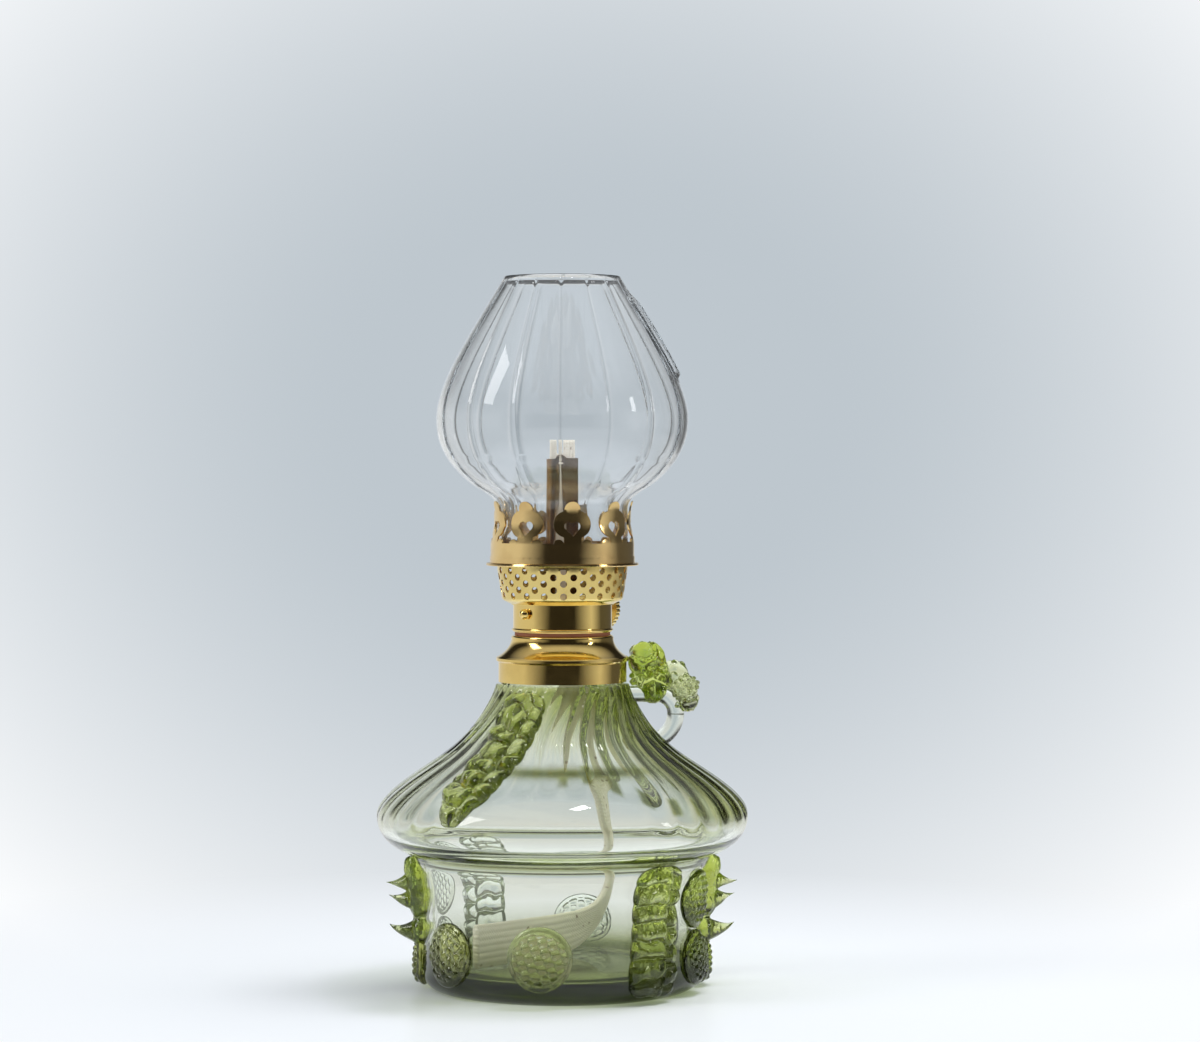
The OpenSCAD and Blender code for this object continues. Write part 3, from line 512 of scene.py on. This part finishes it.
# The table top: its half size, how far it lies under the foot, and the distances in metres between which it
# turns from a lit surface into the backdrop, and from pale into the room's walls for metal
TABLE_HALF, TABLE_DROP = 4, 0.00005
LIT_ENDS, PALE_ENDS = (0.12, 0.3), (0.5, 0.9)


def floor():
    """The pale table top, which runs into the backdrop."""
    bm = bmesh.new()
    bmesh.ops.create_grid(bm, x_segments=2, y_segments=2, size=TABLE_HALF)
    bmesh.ops.translate(bm, verts=bm.verts, vec=(0, 0, -TABLE_DROP))
    mesh = bpy.data.meshes.new("floor")
    bm.to_mesh(mesh)
    bm.free()
    made = Finish(bpy.data.materials.new("pale_floor"))
    place = made.place()
    from_eye = made.node("ShaderNodeVectorMath", {"operation": "SUBTRACT"}, {0: place, 1: tuple(EYE)})
    seen = backdrop(made, from_eye)
    near = made.surface(Base_Color=rgb(0.86, 0.885, 0.915), Roughness=0.35)
    wall, behind = pale_walls(made, made.along(place, 0), made.along(place, 1))
    reach = made.node("ShaderNodeVectorMath", {"operation": "LENGTH"}, {0: place}, "Value")
    walls = made.blend(behind, made.blend(wall, DARK_ROOM, PALE_WALL), seen)
    around = made.blend(made.clamp(reach, *PALE_ENDS), PALE_WALL, walls)
    camera_ray = made.node("ShaderNodeLightPath", output="Is Camera Ray")
    glow = {"Color": made.blend(camera_ray, around, seen), "Strength": 1.0}
    far = made.node("ShaderNodeEmission", None, glow)
    share = made.clamp(reach, *LIT_ENDS)
    mesh.materials.append(made.show(made.node("ShaderNodeMixShader", None, {0: share, 1: near, 2: far})))
    plane = bpy.data.objects.new("floor", mesh)
    bpy.context.scene.collection.objects.link(plane)


BURNER = Vector((0, 0, 0.11))


def softbox(name, place, size, power, mirrored=True):
    """A soft lamp that points at the burner, in watts. Polished pieces show it only if it is mirrored."""
    lamp = bpy.data.lights.new(name, "AREA")
    lamp.shape = "RECTANGLE"
    lamp.size, lamp.size_y = size
    lamp.energy = power
    holder = bpy.data.objects.new(name, lamp)
    holder.location = place
    holder.rotation_euler = (BURNER - Vector(place)).to_track_quat("-Z", "Y").to_euler()
    holder.visible_camera = False
    holder.visible_transmission = False
    holder.visible_glossy = mirrored
    bpy.context.scene.collection.objects.link(holder)


room()
floor()
softbox("top_light", (0.34, 0.05, 1.0), (0.3, 0.3), 7, mirrored=False)
softbox("spark_light", (0.1, -0.07, 1.0), (0.13, 0.07), 0.6)
softbox("left_light", (-1.0, -0.3, 0.85), (0.35, 0.65), 4.5)
softbox("right_light", (0.95, -0.38, 0.5), (0.12, 0.3), 0.9)


# Making pieces
def piece(name, bm, material, body, *nodes, slot=None, sharp=None):
    """A finished piece from a bmesh: it rides on body and stands for the CAD nodes named."""
    bmesh.ops.recalc_face_normals(bm, faces=bm.faces)
    if bm.calc_volume(signed=True) < 0:
        bmesh.ops.reverse_faces(bm, faces=bm.faces)
    for face in bm.faces:
        face.smooth = True
    if sharp:
        for edge in bm.edges:
            edge.smooth = edge.calc_face_angle(0) < math.radians(sharp)
    mesh = bpy.data.meshes.new(name)
    bm.to_mesh(mesh)
    bm.free()
    mesh.materials.append(material)
    made = bpy.data.objects.new(name, mesh)
    if sharp:
        by_area = made.modifiers.new("by_area", "WEIGHTED_NORMAL")
        by_area.keep_sharp = True
    bpy.context.scene.collection.objects.link(made)
    if body:
        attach(made, body)
    if nodes:
        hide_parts(*nodes)
    return made


def lathe(outline, steps):
    """An outline of (r, z) in millimetres, spun round the axis. It closes on itself or on the axis."""
    bm = bmesh.new()
    verts = [bm.verts.new((r * MM, 0, z * MM)) for r, z in outline]
    edges = [bm.edges.new(pair) for pair in zip(verts, verts[1:])]
    if outline[0][0] > 0 or outline[-1][0] > 0:
        edges.append(bm.edges.new((verts[-1], verts[0])))
    bmesh.ops.spin(bm, geom=verts + edges, cent=(0, 0, 0), axis=(0, 0, 1), dvec=(0, 0, 0),
                   angle=2 * math.pi, steps=steps, use_merge=True)
    bmesh.ops.remove_doubles(bm, verts=bm.verts, dist=0.002 * MM)
    return bm


def slab(across, along):
    """A closed sheet of quads, with x and y from -1 to 1 and z 1 on top and 0 below."""
    bm = bmesh.new()
    bmesh.ops.create_grid(bm, x_segments=across, y_segments=along, size=1)
    top = bmesh.ops.extrude_face_region(bm, geom=bm.faces[:])["geom"]
    bmesh.ops.translate(bm, verts=[v for v in top if isinstance(v, bmesh.types.BMVert)], vec=(0, 0, 1))
    return bm


def wavy(point, size, depth):
    """Smooth irregularity of a hand-worked surface, for a point in metres."""
    return depth * noise.noise(point * (1000 / size))


WOBBLE_SHIFTS = (Vector((0, 0, 0)), Vector((17.3, 5.1, 9.7)), Vector((3.9, 21.7, 13.3)))


def wobble(point, size):
    """Smooth irregularity in three directions, for a point in metres."""
    return Vector([noise.noise(point * (1000 / size) + shift) for shift in WOBBLE_SHIFTS])


# The font
def rib_turn(z):
    """How far the ribs have turned at a height, in degrees: the neck was twisted while hot."""
    return 15 * max((z - 77) / 17, 0) ** 1.6 - 3 * ease(70, 50, z)


def overlay_reach(azimuth, z):
    """How far a point is on the overlay's right, on its left and under its upper part, from 0 to 1.

    The overlay ends in a ring in front and lower at its sides.
    """
    right = math.exp(-(apart(azimuth, RIGHT_SIDE[0]) / RIGHT_SIDE[1]) ** 4)
    left = math.exp(-(apart(azimuth, LEFT_SIDE[0]) / LEFT_SIDE[1]) ** 4)
    return right, left, mix(ease(63, 72, z), ease(50.5, 57, z), max(right, 0.8 * left))


def rib_depth(azimuth, z):
    """How deep the ribs are at a point, in millimetres."""
    upper = mix(1, RIB_NECK_SHARE, ease(84, 94, z)) * ease(RIB_START, RIB_TOP, z)
    return RIB_OUT * overlay_reach(azimuth, z)[2] * upper


def overlay(azimuth, z, wave, outer):
    """How olive and how nearly black the font's glass is at a point, for its tint.

    The olive is the overlay's own colour, with a line of painted shade along the crease. The black is painted
    shade in the ribs' grooves, strongest on the overlay's sides and over the whole right side, and on the
    foot; the overlay's dark ring and drops are its own colour.
    """
    if not outer:
        return 0.35 * ease(10, 7.5, z), 0
    if z < 30:
        # On the foot: olive, and nearly black low down as painted shade
        return ease(*BASE_OLIVE, z), 0.97 * ease(*BASE_PAINTED_SHADE, z)
    right, left, down = overlay_reach(azimuth, z)
    sides = max(right, 0.72 * left)
    # Painted shade in the ribs' grooves, strongest on the overlay's sides, and over the whole right side
    dark = mix(mix(0.15, 0.6, ease(74, 90, z)), 1, sides) * down
    groove = dark * (1 - wave ** mix(1.0, 3.2, right)) ** mix(1.6, 1, right)
    groove = max(groove, 0.85 * right * down * ease(57, 65, z)) * mix(1, 0.6, ease(76, 90, z))
    run = (azimuth - rib_turn(z)) * RIBS / 360
    drop_z = RING_Z - 1.2 + 1.2 * math.sin(round(run) * 2.4)
    drop_z -= DROP_SAG * ease(16, 34, azimuth)
    drop = ease(*DROP_START, azimuth) * ease(*DROP_END, azimuth)
    drop *= math.exp(-((z - drop_z) / DROP_HALF) ** 6) * ease(0.85, 0.4, wave)
    ring = math.exp(-((z - RING_Z) / 1.5) ** 2) * ease(45, 20, abs(azimuth - 5))
    groove = max(groove, 0.95 * ring, 0.9 * drop)
    olive = mix(0.15, 0.95, ease(70, 92, z)) * mix(1, 0.45, left) * down
    olive += (0.9 * right + 0.25 * left) * down
    # A line of painted shade, in olive, along the crease
    olive += math.exp(-((z - DRUM_H - 0.2) / 1.9) ** 2)
    return min(olive + ring + drop, 1), groove


def rib_wave(azimuth, z):
    """Roundness of a rib: 0 in the groove and 1 on its back."""
    phase = (azimuth - rib_turn(z)) * RIBS / 360
    return abs(math.sin(math.pi * phase)) ** 0.8


def font_outline():
    """Outer wall, foot, underside, floor and inner wall."""
    def wall(point):
        fold = 1.5 * math.exp(-((point.y - DRUM_H - 0.5) / 2.2) ** 2)
        return GLASS_WALL + fold

    inner = [p for p in inset(FONT_LINE, wall) if p.y < NECK_Z - 3]
    inner_r = DRUM_R - GLASS_WALL
    stub_z = NECK_Z + NECK_STUB
    stub = [(NECK_BORE_R, stub_z), (NECK_SEAT_R, stub_z), (NECK_SEAT_R, NECK_Z + 0.4)]
    underside = [(34, 0), (31, 0.5), (24, 1.0), (12, 1.2), (0, 1.2)]
    centre_z = BOTTOM_T + FLOOR_DOME
    inside = [(0, centre_z), (10, centre_z - 0.05), (20, BOTTOM_T + 0.65), (30, BOTTOM_T + 0.25)]
    corner = arc((inner_r - 4, BOTTOM_T + 4), 4, -90, 0, 6)
    line = stub + [tuple(p) for p in FONT_LINE + FOOT_LINE] + underside + inside
    return line + [tuple(p) for p in corner + inner[::-1]] + [(NECK_BORE_R, NECK_Z + 1)]


def font():
    bm = lathe(font_outline(), RIBS * 12)
    groove = bm.verts.layers.float.new("groove")
    olive = bm.verts.layers.float.new("olive")
    for v in bm.verts:
        x, y, z = v.co / MM
        r = math.hypot(x, y)
        if r < 1:
            continue
        azimuth = azimuth_of(v.co)
        wave = rib_wave(azimuth, z)
        outer = r > wall_r(z) - 0.6
        depth = rib_depth(azimuth, z)
        if z > FOOT_ROUND:
            push = depth * (wave - 0.65) if outer else -0.35 * depth * (wave - 0.65)
            push += wavy(v.co, 30, 0.18 if outer else 0.3)
            v.co += Vector((x, y, 0)) / r * push * MM
        v[olive], v[groove] = overlay(azimuth, z, wave, outer)
    return piece("font_glass", bm, FONT_GLASS, "font", "font", slot="pale_glass")


# What is pressed and pulled on the font's wall
def berries(x, y, spacing):
    """Height from 0 to 1 of a field of round berries in staggered rows."""
    pitch = spacing * math.sqrt(3) / 2
    best = 9
    row = round(y / pitch)
    for k in (row - 1, row, row + 1):
        shift = spacing / 2 * (k % 2)
        column = round((x - shift) / spacing) * spacing + shift
        best = min(best, math.hypot(x - column, y - k * pitch))
    return max(1 - (best / (spacing * 0.56)) ** 2, 0)


def prunt(name, azimuth, z, d, turn, material):
    """A raspberry prunt: a gather pressed on with a die, whose rim stays smooth."""
    bm = bmesh.new()
    bmesh.ops.create_icosphere(bm, subdivisions=6, radius=1)
    cos, sin = math.cos(math.radians(turn)), math.sin(math.radians(turn))
    for v in bm.verts:
        x, y, up = v.co
        reach = math.hypot(x, y)
        across, rise = x * d / 2, y * d / 2
        if up > 0:
            field = berries(across * cos - rise * sin, across * sin + rise * cos, d / BERRIES_ACROSS)
            out = PRUNT_OUT * up ** 0.45 + BERRY_OUT * field * (1 - ease(0.76, 0.86, reach)) + PRUNT_LIFT
        else:
            out = PRUNT_ROOT * up
        v.co = on_wall(azimuth, across, z + rise, out)
        v.co += wobble(v.co, 6.7) * 0.2 * MM * max(up, 0)
    piece(name + "_glass", bm, material, "font", name, slot="olive_glass")


def strip(name, ends, heights, half_width, relief, grid, material):
    """A strip laid up the wall, from one azimuth to another. relief gives its height at (share, side)."""
    height = evenly_up(*heights)
    bm = slab(*grid)
    for v in bm.verts:
        side, share = v.co.x, (v.co.y + 1) / 2
        tip = (1 - abs(2 * share - 1) ** 9) ** 0.5
        azimuth, z = mix(*ends, share), height(share)
        out = ROOT
        if v.co.z > 0.5:
            out = relief(share, side) * (1 - abs(side) ** 5) ** 0.5 * tip + RIM_LIFT
        v.co = on_wall(azimuth, side * half_width(share) * (0.35 + 0.65 * tip), z, out)
    piece(name + "_glass", bm, material, "font", name, slot="olive_glass")


def ridge(phase):
    """A pinched fold: steep on one side, hollow on the other."""
    part = phase % 1
    return math.sin(math.pi * part ** 0.8) ** 0.5


def drum_strip(name, azimuth, seed, material):
    def half_width(share):
        swell = 1 - 0.14 * math.sin(math.pi * share)
        return DRUM_STRIP_HALF * swell * (0.93 + 0.07 * ridge(share * DRUM_FOLDS))

    def relief(share, side):
        wobble = 0.35 * noise.noise(Vector((share * 5, side * 1.5, seed)))
        seam = 1 - 0.4 * math.exp(-((side - 0.35) / 0.13) ** 2)
        fold = ridge(share * DRUM_FOLDS + wobble + (0.35 if side > 0.35 else 0))
        return (0.8 + 2.9 * fold * seam) * (1 + 0.25 * noise.noise(Vector((side * 3, share * 9, seed))))

    strip(name, (azimuth - 1, azimuth + 2.5), DRUM_STRIP_ENDS, half_width, relief, (56, 170), material)


def shoulder_strip(name, azimuth, seed):
    def half_width(share):
        pinched = 0.88 + 0.12 * ridge(share * SHOULDER_FOLDS)
        return mix(*SHOULDER_STRIP_HALF, share) * pinched * (1 - 0.5 * ease(0.25, 0, share))

    def relief(share, side):
        wobble = 0.5 * noise.noise(Vector((share * 6, side * 1.2, seed)))
        seam = 1 - 0.55 * math.exp(-((side - 0.38) / 0.12) ** 2)
        petal = ridge(share * SHOULDER_FOLDS + 0.3 * side + wobble + (0.4 if side > 0.38 else 0))
        cross = 0.8 + 0.2 * math.cos(4 * side + share * 23 + seed)
        uneven = 1 + 0.3 * noise.noise(Vector((side * 3, share * 11, seed)))
        return (0.9 + 2.9 * petal * cross * seam) * uneven

    ends = (azimuth - SHOULDER_STRIP_LEAN, azimuth)
    heights = (SHOULDER_Z + 1.4, NECK_Z - 1.6)
    strip(name, ends, heights, half_width, relief, (56, 190), OLIVE_GLASS)


def thorn_strip(name, azimuth, seed):
    height = evenly_up(*THORN_STRIP_ENDS)
    bm = slab(64, 180)
    for v in bm.verts:
        side, share = v.co.x, (v.co.y + 1) / 2
        z = height(share)
        tip = (1 - abs(2 * share - 1) ** 5) ** 0.5
        waist = 1 - 0.35 * math.exp(-((z - THORN_WAIST_Z) / 2.2) ** 2)
        half = THORN_STRIP_HALF * tip * waist
        across = side * half
        out = ROOT
        lift = 0
        if v.co.z > 0.5:
            uneven = 0.8 * noise.noise(Vector((side * 2, z * 0.4, seed)))
            out = (THORN_STRIP_OUT + uneven) * waist * tip
            out *= (1 - abs(side) ** 2.6) ** 0.5
            for thorn in THORN_HEIGHTS:
                spike = max(1 - math.hypot(across, z - thorn) / THORN_R, 0)
                out += THORN_OUT * spike ** 1.25
                lift += THORN_LIFT * spike ** 3
            out += RIM_LIFT
        v.co = on_wall(azimuth, across, z + lift, out)
    piece(name + "_glass", bm, OLIVE_GLASS, "font", name, slot="olive_glass")


# Each prunt's node, azimuth, height and diameter
PRUNTS = [
    ("prunt_front", -9, 14.6, 19.6), ("prunt_front_left", -52, 13.7, 19.3),
    ("prunt_far_left", -90, 8.2, 13.6),
    ("prunt_right_upper", 68, 29.4, 18), ("prunt_right_lower", 68, 11.6, 16.7),
    ("prunt_back", 171, 14.6, 19.6), ("prunt_back_right", 128, 13.7, 19.3),
    ("prunt_far_right", 94, 8.2, 13.6),
    ("prunt_back_left_upper", 248, 29.4, 18), ("prunt_back_left_lower", 248, 11.6, 16.7),
]


# The handle, in its own plane: X out from the lamp's axis, Z up
HANDLE_TURN = Matrix.Rotation(math.radians(HANDLE_AZIMUTH - 90), 4, "Z")


def handle_strap():
    bm = bmesh.new()
    start = wall_r(ARM_Z) - 1.4
    ring = bmesh.ops.create_circle(bm, cap_ends=True, radius=STRAP_R * MM, segments=28)["verts"]
    bmesh.ops.scale(bm, vec=(1, 1.2, 1), verts=ring)
    bmesh.ops.rotate(bm, cent=(0, 0, 0), matrix=Matrix.Rotation(math.pi / 2, 3, "Y"), verts=ring)
    bmesh.ops.translate(bm, vec=(start * MM, 0, ARM_Z * MM), verts=ring)

    def front():
        """The cap at the growing end."""
        return [f for f in bm.faces if len(f.verts) > 4][-1]

    def push(vector):
        grown = bmesh.ops.extrude_discrete_faces(bm, faces=[front()])["faces"][0]
        bmesh.ops.translate(bm, vec=vector, verts=grown.verts)

    def bend(centre, angle, steps):
        bmesh.ops.spin(bm, geom=[front()], cent=centre, axis=(0, 1, 0), dvec=(0, 0, 0),
                       angle=math.radians(angle), steps=steps, use_merge=False)

    for _ in range(4):
        push(((BEND_X - start) / 4 * MM, 0, 0))
    bend((BEND_X * MM, 0, BEND_Z * MM), 90, 14)
    bend(((STRAP_REACH - LOWER_BEND) * MM, 0, BEND_Z * MM), LOWER_ANGLE, 14)
    down = math.radians(LOWER_ANGLE)
    for _ in range(4):
        push((-1.25 * math.sin(down) * MM, 0, -1.25 * math.cos(down) * MM))
    bmesh.ops.transform(bm, matrix=HANDLE_TURN, verts=bm.verts)
    for v in bm.verts:
        v.co += wobble(v.co, 8.3) * 0.25 * MM
    piece("handle_strap_glass", bm, STRAP_GLASS, "font", "handle_strap", slot="strap_glass")


def lump(name, balls, material, slot, detail):
    """A soft lump of glass round some balls: (out, along, up from the arm, radius) in millimetres."""
    centres = [Vector((BEND_X + x, y, ARM_Z + z)) for x, y, z, r in balls]
    middle = sum(centres, Vector()) / len(balls)
    bm = bmesh.new()
    bmesh.ops.create_icosphere(bm, subdivisions=6, radius=1)
    for v in bm.verts:
        ray = v.co.normalized()
        reach = 0
        for centre, (_, _, _, r) in zip(centres, balls):
            run = ray.dot(centre - middle)
            room_left = run * run - (centre - middle).length_squared + r * r
            if room_left > 0:
                reach += max(run + math.sqrt(room_left), 0.1) ** 9
        v.co = middle + ray * (reach ** (1 / 9) + detail(ray))
    bmesh.ops.scale(bm, vec=(MM, MM, MM), verts=bm.verts)
    bmesh.ops.transform(bm, matrix=HANDLE_TURN, verts=bm.verts)
    piece(name + "_glass", bm, material, "font", name, slot=slot)


def rest_folds(ray):
    """The thumb rest was folded over into ridges, one round the other, and creased across them."""
    turn = ray.angle(Vector((-0.4, -0.9, 0.15)))
    crease = min(abs(noise.noise(ray * 1.9 + Vector((3, 1, 5)))), 0.3)
    return 0.6 * math.sin(turn * 6.5 + 0.8 * ray.z) + 0.5 * noise.noise(ray * 2.7) + 4.2 * crease - 0.7


def crest_berries(ray):
    near = noise.voronoi(ray * 3.1)[0][0]
    return 0.9 * max(1 - (near / 0.55) ** 2, 0) - 0.4


def handle():
    handle_strap()
    rest = [(-3.8, -2.6, 10.4, 5.2), (-2.9, 3, 11, 5), (-0.4, 0.2, 4.8, 5.1), (-3.4, 0.5, 5.6, 4.4),
            (-1.4, -2.4, 1.6, 3.6)]
    crest = [(5.9, 0.4, 6, 4.6), (8.7, -1.6, 1.8, 4.6), (8.9, 2, 1.2, 4.4), (10, 0, -2.4, 3.9)]
    lump("thumb_rest", rest, REST_GLASS, "olive_glass", rest_folds)
    lump("handle_crest", crest, CREST_GLASS, "crest_glass", crest_berries)


# The chimney
def chimney():
    turn = (FITTER_R + (BULB_R - FITTER_R) * 0.386, FITTER_Z + BULB_RISE * 0.265)
    line = (
        curve((RIM_R, RIM_Z), (BULB_R, BULB_Z), (0.472, 0.382), (1.014, 0.742), 30)
        + curve((BULB_R, BULB_Z), turn, (0, 0.396), (0.38, 0.738), 18)
        + curve(turn, (FITTER_R, FITTER_Z), (0.65, 0.38), (1, 0.55), 10)
        + [Vector((FITTER_R, mix(FITTER_Z, CHIMNEY_Z, i / 6))) for i in range(7)]
    )
    inner = inset(line, lambda p: CHIMNEY_WALL)
    bm = lathe([tuple(p) for p in line + inner[::-1]], FLUTES * 36)
    groove = bm.verts.layers.float.new("groove")
    outer = {round(p.y, 3): p.x for p in line}
    for v in bm.verts:
        x, y, z = v.co / MM
        r = math.hypot(x, y)
        azimuth = azimuth_of(v.co)
        wave = abs(math.sin(math.pi * (azimuth + 1) * FLUTES / 360))
        off = math.asin(wave) / math.pi * 2 * math.pi * r / FLUTES
        line_depth = math.exp(-(off / mix(0.95, 0.5, ease(150, 200, z))) ** 2)
        depth = ease(FITTER_Z - 9, FITTER_Z + 8, z) * mix(1, 0.6, ease(BULB_Z, RIM_Z, z))
        depth *= ease(RIM_Z + 0.2, RIM_Z - 2, z)
        outside = round(z, 3) in outer and abs(outer[round(z, 3)] - r) < 0.1
        push = depth * FLUTE_INNER * (wave - 0.6)
        if outside:
            aside = math.radians(azimuth - TRAIL_AZIMUTH) * r
            trail = math.exp(-(aside / TRAIL_HALF) ** 2) * ease(*TRAIL_TOP, z) * ease(*TRAIL_FOOT, z)
            push = depth * (FLUTE_OUT * wave - 0.3 - FLUTE_CREASE * line_depth) + TRAIL_OUT * trail
        v.co += Vector((x, y, 0)) / r * push * MM
        # The grey lines are painted shade, stronger away from the front
        v[groove] = line_depth * depth * mix(0.35, 1, ease(20, 70, abs(azimuth))) if outside else 0
    piece("chimney_glass", bm, CHIMNEY_GLASS, "chimney", "chimney", slot="chimney_glass")


# Brass: the CAD's shapes, merged and smoothed
def dressed(node, material, slot, body, sharp=32):
    bm = bmesh.new()
    bm.from_mesh(frame["nodes"][node].data)
    bmesh.ops.remove_doubles(bm, verts=bm.verts, dist=0.003 * MM)
    return piece(node + "_finished", bm, material, body, node, slot=slot, sharp=sharp)


def metalwork():
    bodies = frame["record"]["behaviour"]["bodies"]
    brass = {entry["node"] for entry in frame["record"]["subparts"] if entry["material_slot"] == "brass"}
    finishes = {"air_basket": PALE_BRASS, "thumbwheel": PALE_BRASS, "gallery_crown": CROWN_BRASS,
                "gallery_seat": CROWN_BRASS, "wick_tube": HOT_BRASS}
    for body, nodes in bodies.items():
        for node in nodes:
            if node in brass:
                dressed(node, finishes.get(node, BRASS), "brass", body)
    dressed("seal_washer", FIBRE, "washer", "washer")
    dressed("collar_cement", PLASTER, "cement", "font")


# The wick
# Heights of the tail's low end, of its upper end and of the burning edge. The tail's route is given as
# (x, y, share of the way up). In the neck it is nearer the axis than the part's, so that it clears the
# collar at every pose
TAIL_LOW, WICK_Z, WICK_TOP_Z = 14.8, 110.5, 169.5
TAIL_ROUTE = [
    (0, 0, 1), (0, 0, 0.94), (1, 1.4, 0.87), (2.6, 3.6, 0.785), (5.6, 7.7, 0.66), (10.4, 14.6, 0.515),
    (13.9, 19.5, 0.37), (15, 21, 0.245), (14.2, 20.2, 0.14), (10.5, 16.5, 0.06), (4.5, 11, 0.014),
    (-3.5, 3.5, 0), (-12, -5, 0), (-20.5, -13.5, 0), (-26, -19, 0),
]
TAIL_TWIST = 28


def facing(turn):
    """The direction that the band's broad side faces."""
    return Vector((-math.sin(math.radians(turn)), math.cos(math.radians(turn)), 0))


def band(name, centres, turns, body, node):
    """A flat woven band along centres, with seven cords and a weave that follows it."""
    count = len(centres)
    bm = slab(42, (count - 1))
    weave = bm.loops.layers.uv.new("weave")
    runs = [0]
    for a, b in zip(centres, centres[1:]):
        runs.append(runs[-1] + (b - a).length)
    placed = {}
    for v in bm.verts:
        i = round((v.co.y + 1) / 2 * (count - 1))
        along = (centres[min(i + 1, count - 1)] - centres[max(i - 1, 0)]).normalized()
        broad = facing(turns[i])
        face = (broad - broad.dot(along) * along).normalized()
        edge = along.cross(face)
        side = v.co.x
        cords = CORD_OUT * abs(math.sin(side * math.pi * 3.5))
        half = (WICK_T / 2 - CORD_OUT) * (1 - abs(side) ** 6) ** 0.5 + cords
        placed[v] = (side * WICK_W / 2, runs[i])
        v.co = (centres[i] + edge * side * WICK_W / 2 + face * half * (1 if v.co.z > 0.5 else -1)) * MM
    for f in bm.faces:
        for loop in f.loops:
            loop[weave].uv = placed[loop.vert]
    bmesh.ops.remove_doubles(bm, verts=bm.verts, dist=0.001 * MM)
    made = piece(name, bm, COTTON, body, node, slot="cotton")
    return made, runs[-1]


def through(points, steps):
    """A smooth line through the points."""
    line = []
    last = len(points) - 1
    for i in range(last):
        a, b, c, d = (points[min(max(i + k, 0), last)] for k in (-1, 0, 1, 2))
        for k in range(steps):
            t = k / steps
            line.append(0.5 * (2 * b + (c - a) * t + (2 * a - 5 * b + 4 * c - d) * t * t
                               + (3 * b - a - 3 * c + d) * t ** 3))
    return line + [points[last]]


def wick():
    route = [Vector((x, y, mix(TAIL_LOW, WICK_Z, share))) for x, y, share in TAIL_ROUTE]
    steps = 12
    centres = through(route, steps)
    twists = [ease(2, 6, i / steps) for i in range(len(centres))]
    turns = [SPINDLE_ANGLE + TAIL_TWIST * twist for twist in twists]
    tail, length = band("wick_tail_cotton", centres, turns, None, "wick_tail")
    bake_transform(tail)
    steps = 60
    centres = [Vector((0, 0, mix(WICK_Z, WICK_TOP_Z, i / steps))) for i in range(steps + 1)]
    top, length = band("wick_top_cotton", centres, [SPINDLE_ANGLE] * (steps + 1), "wick", "wick_top")


font()
for index, (name, azimuth, z, d) in enumerate(PRUNTS):
    kind = OLIVE_GLASS if "right" in name else STRAP_GLASS if "back" in name else PRUNT_GLASS
    prunt(name, azimuth, z, d, 12 + 17 * index, kind)
thorn_strip("thorn_strip_left", -90, 1)
thorn_strip("thorn_strip_right", 94, 2)
drum_strip("crimped_strip_front", 39, 3, OLIVE_GLASS)
drum_strip("crimped_strip_back", 217, 4, STRAP_GLASS)
shoulder_strip("shoulder_strip_front", -31, 5)
shoulder_strip("shoulder_strip_back", 149, 6)
handle()
chimney()
metalwork()
wick()
